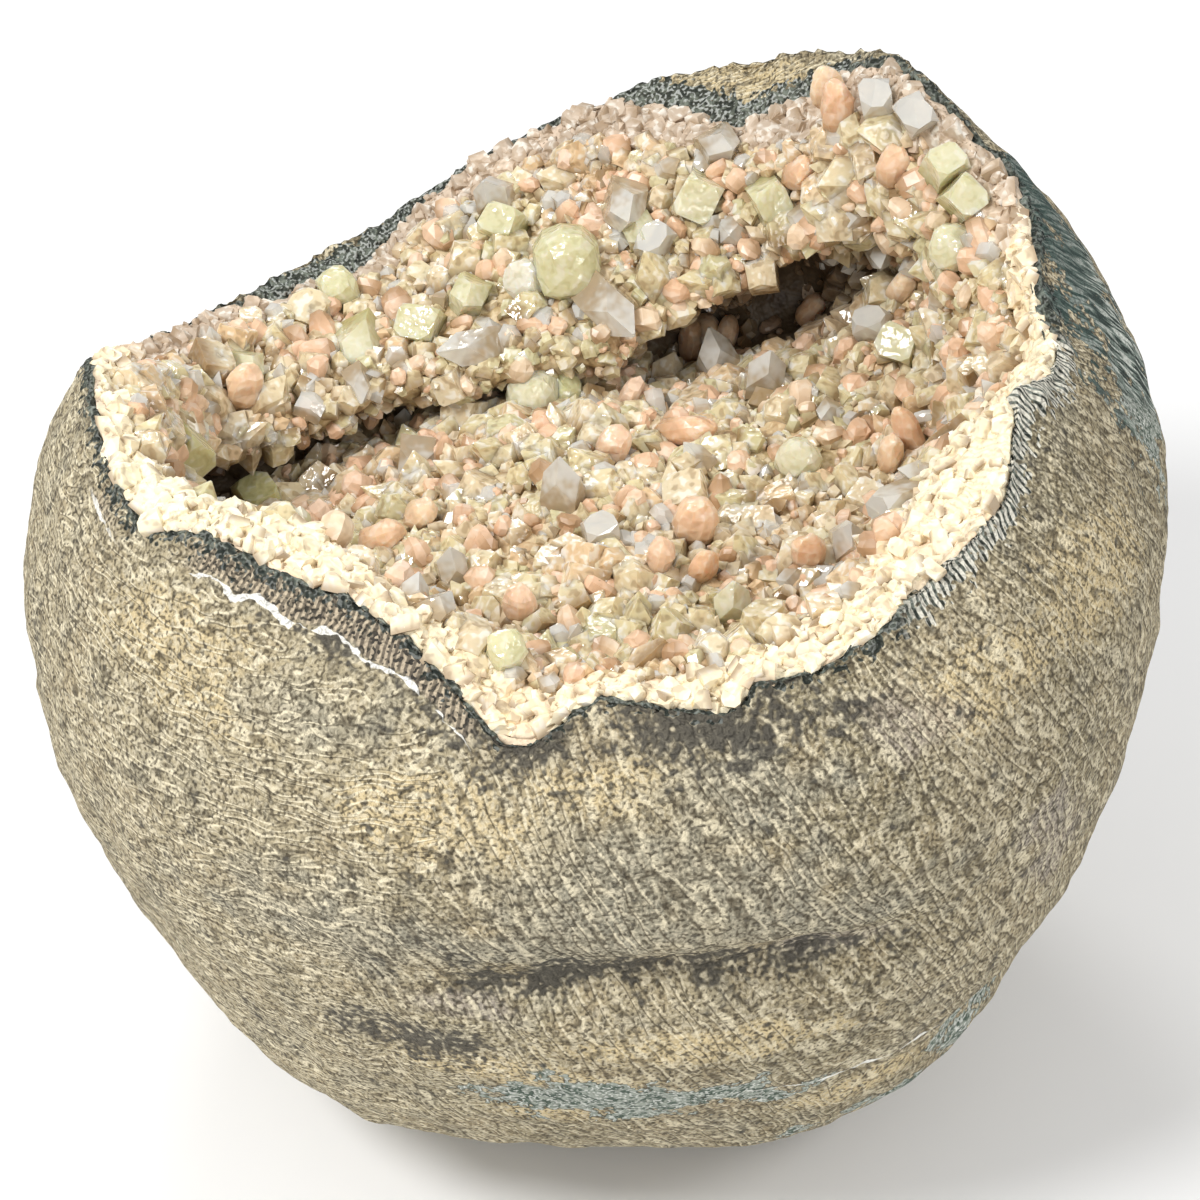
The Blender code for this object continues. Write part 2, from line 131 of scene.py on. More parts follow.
# Smooth closed curve through values given round the circle (Catmull-Rom)
def roundCurve(stations, values, azimuth):
    stations = np.asarray(stations, float)
    values = np.asarray(values, float)
    azimuth = np.mod(azimuth, 360.0)
    count = len(stations)
    first = np.searchsorted(stations, azimuth, side="right") - 1

    def place(index):
        return stations[index % count] + 360.0 * (index // count)

    span = place(first + 1) - place(first)
    t = (azimuth - place(first)) / span
    before, start, end, after = (values[(first + step) % count] for step in (-1, 0, 1, 2))
    slopeIn = (end - before) / (place(first + 1) - place(first - 1)) * span
    slopeOut = (after - start) / (place(first + 2) - place(first)) * span
    return ((2 * t**3 - 3 * t**2 + 1) * start + (t**3 - 2 * t**2 + t) * slopeIn
            + (3 * t**2 - 2 * t**3) * end + (t**3 - t**2) * slopeOut)


# Straight lines through a table's column round the circle, for what broke in corners
def cornered(table, column, azimuth):
    rows = np.array(table, float)
    return np.interp(np.mod(azimuth, 360.0), rows[:, 0], rows[:, column], period=360.0)


def bodyCurve(name, azimuth):
    return roundCurve(body["azimuths"], body[name], azimuth)


# Signed difference between two azimuths, -180 to 180
def turnBetween(azimuth, other):
    return np.mod(azimuth - other + 180.0, 360.0) - 180.0


# Repeatable scatter of whole numbers into -1 to 1
def hashed(whole, seed):
    key = (whole[..., 0] * 73856093) ^ (whole[..., 1] * 19349663) ^ (whole[..., 2] * 83492791)
    key = (key + seed * 668265263) & 0xFFFFFFFF
    key = ((key ^ (key >> 15)) * 2246822519) & 0xFFFFFFFF
    key = ((key ^ (key >> 13)) * 3266489917) & 0xFFFFFFFF
    return (key ^ (key >> 16)) / 2147483648.0 - 1.0


# Value noise: random heights on a cubic lattice, eased and blended between the cell's corners
def cloudNoise(points, cell, seed):
    scaled = points / cell
    base = np.floor(scaled).astype(np.int64)
    ease = scaled - base
    ease = ease * ease * (3 - 2 * ease)
    total = 0.0
    for corner in np.ndindex(2, 2, 2):
        weight = np.prod(np.where(np.array(corner) == 1, ease, 1 - ease), axis=-1)
        total = total + weight * hashed(base + np.array(corner), seed)
    return total


# Cell noise: distance in cells to the nearest of points jittered in a cubic lattice
def cellNoise(points, cell, seed):
    scaled = points / cell
    base = np.floor(scaled).astype(np.int64)
    nearest = np.full(points.shape[:-1], 9.0)
    for corner in np.ndindex(3, 3, 3):
        whole = base + np.array(corner) - 1
        jitter = np.stack([hashed(whole, seed + k) for k in range(3)], -1) * 0.5 + 0.5
        nearest = np.minimum(nearest, np.linalg.norm(whole + jitter - scaled, axis=-1))
    return nearest


# Outside of the nodule: a superellipse quarter below the belt and another above it
def outside(azimuth, rise):
    belt = bodyCurve("belt radius", azimuth)
    beltHeight = bodyCurve("belt height", azimuth)
    edge = bodyCurve("foot radius", azimuth)
    angle = rise * math.pi / 2
    cosine = np.clip(np.cos(angle), 0.0, 1.0)
    sine = np.sin(angle)
    above = belt * cosine ** bodyCurve("upper roundness", azimuth)
    below = edge + (belt - edge) * cosine ** bodyCurve("lower roundness", azimuth)
    radius = np.where(rise > 0, above, below)
    lift = body["foot lift"]
    height = np.where(
        rise > 0,
        beltHeight + bodyCurve("dome rise", azimuth) * sine,
        lift + (beltHeight - lift) * (1 + sine),
    )
    for lumpAzimuth, lumpHeight, halfTurn, halfHeight, push in lumps:
        u = turnBetween(azimuth, lumpAzimuth) / halfTurn
        v = (height - lumpHeight) / halfHeight
        radius = radius + push * np.exp(-u * u - v * v)
    return radius, height


# The rise at which the outside meets the broken rim
def rimRise(azimuth):
    above = cornered(rimTable, 1, azimuth) - bodyCurve("belt height", azimuth)
    return np.arcsin(above / bodyCurve("dome rise", azimuth)) * 2 / math.pi


def lipEdge(azimuth):
    radius, height = outside(azimuth, rimRise(azimuth))
    return radius - cornered(lipTable, 1, azimuth), height - cornered(lipTable, 2, azimuth)


# Inside of the rock under the crust, from the lip (0) to the lowest point (1)
def bowlPoint(azimuth, share, inset):
    lipRadius, lipHeight = lipEdge(azimuth)
    belly = roundCurve(body["azimuths"], bowl["radius"], azimuth)
    angle = share * math.pi / 2
    widen = 1.0 - np.maximum(0.0, 1.0 - share / 0.3) ** 2
    cosine = np.clip(np.cos(angle), 0.0, 1.0)
    radius = (lipRadius + (belly - lipRadius) * widen) * cosine ** 0.45
    height = lipHeight + (bowl["floor"] - lipHeight) * np.sin(angle)
    return np.maximum(radius - inset, 0.0), height + inset * share


def toPoints(azimuth, radius, height):
    angle = np.radians(azimuth)
    flat = np.stack([radius * np.cos(angle), radius * np.sin(angle), height], -1)
    return flat + bodyAxis


# Normals of a grid that closes round its columns: one edge crossed with the other
def gridNormals(points):
    across = np.roll(points, -1, axis=1) - np.roll(points, 1, axis=1)
    along = np.gradient(points, axis=0)
    normals = np.cross(across, along)
    return normals / np.maximum(np.linalg.norm(normals, axis=-1, keepdims=True), 1e-9)


# A closed surface of rings: a fan at each pole and four-cornered faces between the rings
def ringSurface(name, bottom, rings, top, wrap=None):
    rows, columns = rings.shape[:2]
    vertices = np.concatenate([[bottom], rings.reshape(-1, 3), [top]]) * mm
    index = 1 + np.arange(rows * columns).reshape(rows, columns)
    following = np.roll(index, -1, axis=1)
    quads = np.stack([index[:-1], following[:-1], following[1:], index[1:]], -1).reshape(-1, 4)
    lower = np.stack([np.zeros(columns, int), following[0], index[0]], -1)
    upper = np.stack([np.full(columns, len(vertices) - 1), index[-1], following[-1]], -1)
    mesh = bpy.data.meshes.new(name)
    mesh.from_pydata(vertices, [], quads.tolist() + lower.tolist() + upper.tolist())
    if wrap is not None:
        layer = mesh.uv_layers.new(name="wrap")
        u = wrap[..., 0]
        v = wrap[..., 1]
        lapU = np.concatenate([u, 2 * u[:, -1:] - u[:, -2:-1]], axis=1)
        lapV = np.concatenate([v, v[:, :1]], axis=1)
        corners = [(lapU[:-1, :-1], lapV[:-1, :-1]), (lapU[:-1, 1:], lapV[:-1, 1:]),
                   (lapU[1:, 1:], lapV[1:, 1:]), (lapU[1:, :-1], lapV[1:, :-1])]
        flat = np.stack([np.stack(corner, -1) for corner in corners], -2).reshape(-1, 2)
        fans = np.zeros((6 * columns, 2))
        layer.data.foreach_set("uv", np.concatenate([flat, fans]).ravel() * mm)
    piece = bpy.data.objects.new(name, mesh)
    bpy.context.scene.collection.objects.link(piece)
    return piece


# One number a vertex, kept on the mesh for its material
def storeNumber(piece, name, values):
    layer = piece.data.attributes.new(name, "FLOAT", "POINT")
    layer.data.foreach_set("value", np.ascontiguousarray(values, dtype=np.float32))


def finishPiece(piece, material, smooth):
    piece.data.materials.append(material)
    piece.data.polygons.foreach_set("use_smooth", np.full(len(piece.data.polygons), smooth))
    piece.data.update()
    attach(piece, "root")


# Node helpers for the materials
class Shader:
    def __init__(self, name):
        self.material = bpy.data.materials.new(name)
        self.material.use_nodes = True
        self.tree = self.material.node_tree
        self.surface = self.tree.nodes["Principled BSDF"]
        self.output = self.tree.nodes["Material Output"]

    def add(self, kind, **settings):
        node = self.tree.nodes.new(kind)
        for key, value in settings.items():
            setattr(node, key, value)
        return node

    def put(self, source, socket):
        if hasattr(source, "is_output"):
            self.tree.links.new(source, socket)
        else:
            socket.default_value = source

    def position(self):
        return self.add("ShaderNodeTexCoord").outputs["Object"]

    def wrap(self):
        return self.add("ShaderNodeUVMap", uv_map="wrap").outputs["UV"]

    def number(self, name):
        return self.add("ShaderNodeAttribute", attribute_name=name).outputs["Fac"]

    def math(self, operation, a, b=0.0, c=0.0):
        node = self.add("ShaderNodeMath", operation=operation)
        for socket, value in zip(node.inputs, (a, b, c)):
            self.put(value, socket)
        return node.outputs[0]

    def noise(self, vector, scale, detail=3.0, roughness=0.55, flat=False):
        node = self.add("ShaderNodeTexNoise", noise_dimensions="2D" if flat else "3D")
        self.put(vector, node.inputs["Vector"])
        node.inputs["Scale"].default_value = scale
        node.inputs["Detail"].default_value = detail
        node.inputs["Roughness"].default_value = roughness
        return node.outputs["Fac"]

    # Coordinates turned to a direction and stretched along it
    def turned(self, vector, angle, stretch):
        node = self.add("ShaderNodeMapping", vector_type="TEXTURE")
        self.put(vector, node.inputs["Vector"])
        node.inputs["Rotation"].default_value = (0, 0, math.radians(angle))
        node.inputs["Scale"].default_value = (stretch, 1.0, 1.0)
        return node.outputs[0]

    def part(self, vector, index):
        node = self.add("ShaderNodeSeparateXYZ")
        self.put(vector, node.inputs[0])
        return node.outputs[index]

    def blend(self, factor, a, b):
        node = self.add("ShaderNodeMix", data_type="FLOAT")
        self.put(factor, node.inputs[0])
        self.put(a, node.inputs[2])
        self.put(b, node.inputs[3])
        return node.outputs[0]

    # Wrinkles' phase: whole numbers on the crests, across / period + slow drift + quick drift
    def wrinkles(self, along, period, slow, quick):
        drift = self.times(self.noise(along, 26.0, 0.0, 0.5, True), slow)
        shiver = self.times(self.noise(along, 170.0, 1.0, 0.6, True), quick)
        across = self.math("DIVIDE", self.part(along, 1), period)
        return self.math("ADD", across, self.math("ADD", drift, shiver))

    # 1 where a phase is a whole number, falling evenly to 0 half way between
    def peaks(self, phase, shift=0.0):
        moved = self.math("ADD", phase, 0.5 + shift)
        return self.math("MULTIPLY", self.math("PINGPONG", moved, 0.5), 2.0)

    def mix(self, factor, a, b):
        node = self.add("ShaderNodeMix", data_type="RGBA")
        self.put(factor, node.inputs[0])
        for value, socket in ((a, node.inputs[6]), (b, node.inputs[7])):
            self.put(value if hasattr(value, "is_output") else (*value, 1.0), socket)
        return node.outputs[2]

    def pick(self, factor, a, b):
        node = self.add("ShaderNodeMix", data_type="VECTOR")
        self.put(factor, node.inputs[0])
        self.put(a, node.inputs[4])
        self.put(b, node.inputs[5])
        return node.outputs[1]

    def plus(self, a, b):
        return self.math("ADD", a, b)

    def times(self, a, b):
        return self.math("MULTIPLY", a, b)

    # Noise moved to swing evenly either side of nought: (noise - 0.5) * amount
    def swing(self, noise, amount):
        return self.times(self.math("SUBTRACT", noise, 0.5), amount)

    # Smooth step up over low to high, or down where low is above high
    def steps(self, factor, low, high):
        node = self.add("ShaderNodeMapRange", interpolation_type="SMOOTHSTEP")
        self.put(factor, node.inputs["Value"])
        node.inputs["From Min"].default_value = low
        node.inputs["From Max"].default_value = high
        return node.outputs[0]

    def bump(self, height, distance, strength):
        node = self.add("ShaderNodeBump")
        self.put(height, node.inputs["Height"])
        node.inputs["Distance"].default_value = distance
        node.inputs["Strength"].default_value = strength
        return node.outputs[0]

    def set(self, **values):
        for name, value in values.items():
            self.put(value, self.surface.inputs[name.replace("_", " ")])


# Rock
rock = {
    "columns": 660,
    "foot rows": 4,
    "lower rows": 78,
    "upper rows": 42,
    "lip rows": 8,
    "bowl rows": 6,
    "seam azimuth": 90.0,
    "unevenness": [(24.0, 1.3), (10.0, 0.8), (4.5, 0.4)],
    "inward": 1.5,
    "rim crinkle": 1.4,
    "rim crinkle reach": 5.0,
    "pits": [(315.8, 185, 2.6, 2.0), (233, 203, 2.2, 1.6), (247, 108, 3.0, 1.5), (301, 122, 2.4, 1.6)],
    "notch": (332, 80, 7, 5, 7.0),
    "wrap radius": 168.0,
    "foot fade": 14.0,
    "pit stretch": 3.0,
    "vein stretch": 2.9,
    "far from veins": 50.0,
}
# Stains and bare patches on the outside, and dark patches that are painted shade in the crease and the
# hollows plus a dark band just under the front rim: azimuth, height, half width round, half height
stains = {
    "ochre": [(253, 208, 9, 13), (271, 219, 9, 9), (262, 205, 7, 10), (262, 112, 14, 9),
              (280, 128, 16, 8), (60, 262, 22, 7), (33, 262, 10, 8), (330, 232, 12, 16),
              (225, 225, 14, 14), (266, 84, 9, 6), (300, 80, 12, 9), (70, 240, 30, 20),
              (310, 228, 10, 12)],
    "grey": [(273, 200, 16, 16), (262, 168, 20, 10), (290, 172, 16, 12), (243, 165, 14, 18),
             (284, 218, 12, 10), (237, 226, 10, 8), (270, 180, 12, 12), (283, 190, 12, 14)],
    "plum": [(301, 225, 5, 10), (256, 142, 6, 5), (292, 158, 8, 5), (322, 150, 5, 16),
             (318, 170, 4, 12)],
    "teal": [(263, 95, 5, 9), (269, 99, 5, 12), (276, 99, 5, 11), (282, 96, 6, 8), (288, 91, 5, 5),
             (273, 84, 6, 4), (311, 52, 12, 5), (317, 72, 5, 10), (322, 80, 4, 9),
             (14, 258, 10, 14), (6, 246, 10, 17), (358, 234, 7, 15), (24, 267, 9, 9)],
    # dark: painted shade in the crease and the hollows, and a dark band just under the front rim
    "dark": [(262, 231, 9, 8), (280, 233, 12, 8), (262, 152, 9, 5), (274, 157, 14, 4),
             (289, 154, 10, 4), (252, 120, 8, 8), (330, 84, 7, 4), (246, 243, 10, 4), (319, 93, 8, 3)],
}
# Thin white vein: azimuth and height of the middle, half length, slope
veins = [(300.5, 93.5, 7.0, -0.05)]


def spots(table, azimuth, height):
    total = np.zeros_like(height)
    for spotAzimuth, spotHeight, halfTurn, halfHeight in table:
        u = turnBetween(azimuth, spotAzimuth) / halfTurn
        v = (height - spotHeight) / halfHeight
        total = np.maximum(total, np.exp(-0.7 * (u * u + v * v)))
    return total


# Rings of the rock: flat foot, outside below and above the belt, lip, and the hidden bowl
def rockRings():
    columns = rock["columns"]
    azimuth = rock["seam azimuth"] + np.arange(columns) * 360.0 / columns
    whole = np.ones(columns)
    rings = [(whole * body["flat radius"] * row / rock["foot rows"], whole * 0.0)
             for row in range(1, rock["foot rows"] + 1)]
    rings += [outside(azimuth, whole * share) for share in np.linspace(-1.0, 0.0, rock["lower rows"])]
    top = rimRise(azimuth)
    rings += [outside(azimuth, top * share) for share in np.linspace(0.0, 1.0, rock["upper rows"])[1:]]
    rimRow = len(rings) - 1
    rimRadius, rimHeight = rings[-1]
    innerRadius, innerHeight = lipEdge(azimuth)
    for share in np.linspace(0.0, 1.0, rock["lip rows"] + 1)[1:]:
        dome = 1.0 * math.sin(math.pi * share)
        rings.append((rimRadius + (innerRadius - rimRadius) * share,
                      rimHeight + (innerHeight - rimHeight) * share + dome))
    for share in np.linspace(0.0, 1.0, rock["bowl rows"], endpoint=False)[1:]:
        rings.append(bowlPoint(azimuth, whole * share, -0.3))
    radii = np.array([ring[0] for ring in rings])
    heights = np.array([ring[1] for ring in rings])
    return azimuth, radii, heights, rimRow


# Rock surface: the rings pushed along their normals by value noise of falling size; close
# to the rim the noise is finer and stronger, and the foot stays flat
def makeRock():
    azimuth, radii, heights, rimRow = rockRings()
    turns = np.broadcast_to(azimuth, radii.shape)
    points = toPoints(turns, radii, heights)
    normals = gridNormals(points)
    push = np.full(radii.shape, -rock["inward"])
    for number, (cell, amount) in enumerate(rock["unevenness"]):
        push += amount * cloudNoise(points, cell, 11 + number)
    for pitAzimuth, pitHeight, reach, depth in rock["pits"]:
        apart = np.hypot(turnBetween(turns, pitAzimuth) * rock["pit stretch"], heights - pitHeight)
        push -= depth * np.exp(-(apart / reach) ** 2)
    notchAzimuth, notchHeight, halfTurn, halfHeight, depth = rock["notch"]
    u = turnBetween(turns, notchAzimuth) / halfTurn
    v = (heights - notchHeight) / halfHeight
    push -= depth * np.clip(1.3 - np.abs(u) - np.abs(v), 0, 1)
    belowRim = heights[rimRow] - heights
    near = np.exp(-(belowRim / rock["rim crinkle reach"]) ** 2)
    lastLip = rimRow + rock["lip rows"]
    near[rimRow + 1:lastLip + 1] = 1.0
    crinkle = cloudNoise(points, 3.4, 31) + 0.6 * cloudNoise(points, 1.8, 32)
    crinkle += 0.5 * cloudNoise(points, 8.0, 33)
    push += near * rock["rim crinkle"] * crinkle
    fade = np.clip(heights / rock["foot fade"], 0.0, 1.0)
    fade[lastLip:] = 0.0
    points = points + normals * (push * fade)[..., None]
    points[..., 2] = np.minimum(points[..., 2], highest)
    flat = np.hypot(np.diff(radii, axis=0), np.diff(heights, axis=0))
    climb = np.concatenate([np.zeros((1, len(azimuth))), np.cumsum(flat, axis=0)])
    beltRow = rock["foot rows"] + rock["lower rows"] - 1
    climb = climb - climb[beltRow]
    girth = np.radians(turns - rock["seam azimuth"]) * rock["wrap radius"]
    base = bodyAxis.copy()
    pole = bodyAxis + np.array([0, 0, bowl["floor"] - 0.3])
    piece = ringSurface("rock", base, points, pole, np.stack([girth, climb], -1))
    for name, table in stains.items():
        storeNumber(piece, name, padEnds(spots(table, turns, heights)))
    lipWidth = np.hypot(radii[rimRow] - radii[lastLip], heights[rimRow] - heights[lastLip])
    fromCrust = lipWidth + np.maximum(belowRim, 0.0)
    shares = np.linspace(1.0, 0.0, rock["lip rows"] + 1)[:, None]
    fromCrust[rimRow:lastLip + 1] = lipWidth * shares
    fromCrust[lastLip:] = 0.0
    storeNumber(piece, "fromCrust", padEnds(fromCrust))
    outer = np.arange(len(radii))[:, None] < rimRow
    storeNumber(piece, "belowRim", padEnds(np.where(outer, belowRim, 0.0)))
    storeNumber(piece, "veinAway", padEnds(veinAway(turns, heights)))
    return piece


# A grid's values with one more for the pole at each end
def padEnds(values):
    return np.concatenate([[values[0].mean()], values.ravel(), [values[-1].mean()]])


# Signed millimetres above the nearest vein's line, and far away beyond its ends
def veinAway(azimuth, height):
    result = np.full(height.shape, rock["far from veins"])
    for veinAzimuth, veinHeight, halfTurn, slope in veins:
        turn = turnBetween(azimuth, veinAzimuth)
        away = height - veinHeight - slope * turn * rock["vein stretch"]
        beyond = np.maximum(np.abs(turn) - halfTurn, 0.0)
        away = away + np.copysign(beyond, away)
        result = np.where(np.abs(away) < np.abs(result), away, result)
    return result


def basalt():
    s = Shader("basalt")
    position = s.position()
    wrap = s.wrap()
    broad = s.noise(position, 20.0, 0.0, 0.6)
    middle = s.noise(position, 75.0, 1.0, 0.6)
    fine = s.noise(position, 380.0, 1.0, 0.65)
    grain = s.noise(position, 950.0, 0.0, 0.6)
    # Degrees round from the left side towards the front, out of the wrap's first part
    perUnit = math.degrees(1.0 / (rock["wrap radius"] * mm))
    turned = s.math("MULTIPLY_ADD", s.part(wrap, 0), perUnit, rock["seam azimuth"] - 180.0)
    azimuth = s.plus(s.math("WRAP", turned, 360.0, 0.0), s.swing(broad, 60.0))

    # Ridges: short and nearly level on the left and the back, long and steep on the front and
    # the right. Each has a pale crest, partly its own colour and partly a painted highlight, and a
    # dark line of painted shadow along one side
    steep = s.times(s.math("GREATER_THAN", azimuth, 72.0), s.math("LESS_THAN", azimuth, 215.0))
    along = s.pick(steep, s.turned(wrap, 8.0, 3.0), s.turned(wrap, -62.0, 3.0))
    period = s.blend(steep, 0.0034, 0.0045)
    phase = s.wrinkles(along, period, s.blend(steep, 8.0, 6.0), s.blend(steep, 3.6, 1.8))
    broken = s.noise(s.turned(wrap, 0.0, 1.6), 150.0, 1.0, 0.7, True)
    pattern = s.steps(s.peaks(phase), 0.56, 0.90)
    troughShadow = s.times(s.steps(s.peaks(phase, 0.22), 0.66, 0.95), s.steps(broken, 0.62, 0.48))
    paleCrestAndHighlight = s.times(s.times(pattern, s.steps(broken, 0.38, 0.50)), s.blend(steep, 0.85, 0.62))

    colour = s.mix(s.steps(broad, 0.3, 0.7), (0.315, 0.268, 0.168), (0.40, 0.338, 0.218))
    leftPale = s.math("MAXIMUM", s.steps(azimuth, 85.0, 55.0), s.steps(azimuth, 285.0, 335.0))
    colour = s.mix(s.times(leftPale, 0.7), colour, (0.50, 0.427, 0.28))
    colour = s.mix(s.times(s.steps(middle, 0.5, 0.68), 0.4), colour, (0.28, 0.265, 0.205))
    colour = s.mix(s.times(s.steps(middle, 0.46, 0.30), 0.35), colour, (0.44, 0.345, 0.205))

    def patch(name, weight, low, high, reach=1.1, reachFine=0.7):
        value = s.plus(s.plus(s.number(name), s.swing(middle, reach)), s.swing(fine, reachFine))
        return s.times(s.steps(value, low, high), weight)

    colour = s.mix(patch("ochre", 0.85, 0.35, 0.8), colour, (0.68, 0.545, 0.31))
    colour = s.mix(patch("grey", 0.6, 0.35, 0.85), colour, (0.31, 0.295, 0.235))
    colour = s.mix(patch("plum", 0.55, 0.35, 0.8), colour, (0.34, 0.295, 0.27))
    colour = s.mix(s.times(s.steps(fine, 0.53, 0.66), 0.62), colour, (0.12, 0.10, 0.065))
    colour = s.mix(s.times(s.steps(fine, 0.46, 0.36), 0.5), colour, (0.64, 0.57, 0.42))
    colour = s.mix(s.times(s.steps(grain, 0.42, 0.30), 0.4), colour, (0.74, 0.66, 0.48))
    # painted shadow: the dark line along the lower side of each ridge
    colour = s.mix(s.times(troughShadow, s.blend(steep, 0.65, 0.7)), colour, (0.10, 0.08, 0.05))
    # pale crest colour, partly a painted highlight on the lit side of each ridge
    colour = s.mix(paleCrestAndHighlight, colour, (0.83, 0.74, 0.53))
    # Dark specks where the grain dips the bump: painted shade in the small pits
    colour = s.mix(s.times(s.steps(grain, 0.58, 0.70), 0.75), colour, (0.07, 0.055, 0.035))
    # Near-black patches: painted shade in the crease and the hollows, and a band under the front rim
    colour = s.mix(patch("dark", 0.9, 0.32, 0.95, 1.4, 2.4), colour, (0.085, 0.078, 0.065))

    # Bare celadonite: blue-green flecked white with a dark broken edge; on the right side it
    # is combed down in black and white streaks, dark by the rim
    below = s.number("belowRim")
    only = s.steps(s.number("teal"), 0.06, 0.16)
    edge = s.times(patch("teal", 1.0, 0.40, 0.46, 2.2, 1.6), only)
    inside = s.times(patch("teal", 1.0, 0.50, 0.54, 2.2, 1.6), only)
    streakSide = s.steps(azimuth, 160.0, 172.0)
    streaks = s.noise(s.turned(wrap, -78.0, 6.0), 560.0, 1.0, 0.7, True)
    bare = s.mix(s.steps(fine, 0.42, 0.58), (0.10, 0.135, 0.105), (0.36, 0.39, 0.335))
    bare = s.mix(s.times(s.steps(grain, 0.44, 0.36), 0.7), bare, (0.78, 0.79, 0.73))
    combed = s.mix(s.steps(streaks, 0.38, 0.52), (0.04, 0.055, 0.048), (0.215, 0.26, 0.225))
    combed = s.mix(s.steps(streaks, 0.54, 0.62), combed, (0.60, 0.63, 0.57))
    combed = s.mix(s.times(s.steps(below, 26.0, 8.0), 0.7), combed, (0.05, 0.085, 0.075))
    bare = s.mix(streakSide, bare, combed)
    colour = s.mix(s.times(edge, 0.75), colour, (0.06, 0.065, 0.055))
    colour = s.mix(inside, colour, bare)

    # Ribbed brown-grey band under the break on the left front, with a white vein along its
    # lower edge, and a short vein low on the right
    ribSide = s.times(s.steps(azimuth, 26.0, 36.0), s.steps(azimuth, 80.0, 72.0))
    belowRagged = s.plus(below, s.swing(middle, 6.0))
    ribBand = s.times(s.steps(belowRagged, 7.2, 6.2), ribSide)
    around = s.plus(s.math("DIVIDE", s.part(wrap, 0), 0.0024), s.times(middle, 1.6))
    ribs = s.times(s.math("PINGPONG", around, 0.5), 2.0)
    ribColour = s.mix(s.steps(ribs, 0.3, 0.7), (0.17, 0.14, 0.105), (0.58, 0.48, 0.345))
    ribColour = s.mix(s.steps(grain, 0.54, 0.64), ribColour, (0.05, 0.045, 0.038))
    colour = s.mix(s.times(ribBand, 0.85), colour, ribColour)
    shiver = s.swing(fine, 1.7)
    fromEdge = s.math("ABSOLUTE", s.plus(s.math("SUBTRACT", belowRagged, 7.4), shiver))
    white = s.times(s.steps(s.plus(fromEdge, s.times(broken, 3.2)), 1.95, 1.7), ribSide)
    fromVein = s.math("ABSOLUTE", s.plus(s.number("veinAway"), shiver))
    veined = s.steps(s.plus(fromVein, s.times(broken, 3.0)), 2.05, 1.7)
    colour = s.mix(s.math("MAXIMUM", white, veined), colour, (0.88, 0.86, 0.79))

    # Dark green lace of the break: wide and flecked white at the back, combed by white
    # fibres on the right
    crinkled = s.swing(fine, 16.0)
    combSide = s.times(s.steps(azimuth, 128.0, 138.0), s.steps(azimuth, 182.0, 176.0))
    backSide = s.times(s.steps(azimuth, 225.0, 240.0), s.steps(azimuth, 325.0, 310.0))
    wider = s.plus(s.times(combSide, 2.5), s.times(backSide, 6.0))
    reach = s.math("SUBTRACT", s.plus(s.number("fromCrust"), crinkled), wider)
    lip = s.steps(reach, 7.4, 6.4)
    lace = s.mix(s.steps(fine, 0.40, 0.64), (0.022, 0.03, 0.026), (0.19, 0.215, 0.18))
    flecked = s.times(s.steps(grain, 0.47, 0.36), s.math("MAXIMUM", s.times(backSide, 0.6), 0.2))
    lace = s.mix(flecked, lace, (0.62, 0.65, 0.62))
    lace = s.mix(s.times(s.times(combSide, s.steps(ribs, 0.32, 0.6)), 0.92), lace, (0.80, 0.77, 0.66))
    colour = s.mix(s.times(lip, 0.95), colour, lace)

    height = s.plus(fine, s.times(grain, -0.4))
    s.set(Base_Color=colour, Roughness=0.9, Normal=s.bump(height, 0.0036, 1.0))
    s.surface.inputs["Specular IOR Level"].default_value = 0.2
    return s.material


print("rock")
rockPiece = makeRock()
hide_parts("rock_shell")
finishPiece(rockPiece, basalt(), True)


# Crust ground
ground = {
    "columns": 600,
    "face rows": 142,
    "bowl rows": 4,
    "lap rows": 5,
    "lap": 2.2,
    "lap rise": 0.9,
    "lumps": [(17.0, 3.2), (8.0, 2.0), (3.6, 0.8)],
    "band lumps": [(12.0, 2.6), (6.0, 1.7), (3.0, 0.8)],
    "band rise": 1.2,
    "lump level": 0.75,
    "band level": 0.55,
    "lump gain": 1.6,
    "druse edge": 0.3,
    "scallop": 1.7,
    "caverns": [(785, 285, 18.0, 16.0), (690, 342, 16.0, 10.0), (212, 462, 14.0, 13.0),
                (870, 250, 13.0, 9.0)],
}
hollow = {
    "from": 40.0,
    "fade in": 14.0,
    "to": 215.0,
    "fade out": 20.0,
    "place": 2.95,
    "half width": 0.75,
}
# Width of the cream fibrous band at the break, as a share of the way to the upper wall
bandTable = [
    (0, 1.05), (12, 0.75), (24, 0.45), (40, 0.35), (60, 0.42), (120, 0.35), (160, 0.30),
    (178, 0.45), (192, 0.58), (202, 0.75), (215, 0.95), (232, 0.95), (245, 0.72), (258, 0.45),
    (272, 0.42), (285, 0.50), (300, 0.70), (315, 1.0), (330, 1.3), (346, 1.3),
]


# Camera's place and the ray through a pixel of the photograph
def cameraRay(across, down):
    tip = math.radians(view["elevation"])
    back = np.array([0.0, -math.cos(tip), math.sin(tip)])
    up = np.array([0.0, math.sin(tip), math.cos(tip)])
    right = np.array([1.0, 0.0, 0.0])
    centre = view["target"] + back * view["distance"]
    half = view["pixels wide"] / 2
    ray = -back + (right * (across - half) - up * (down - half)) / view["lens in pixels"]
    return centre, ray / np.linalg.norm(ray)


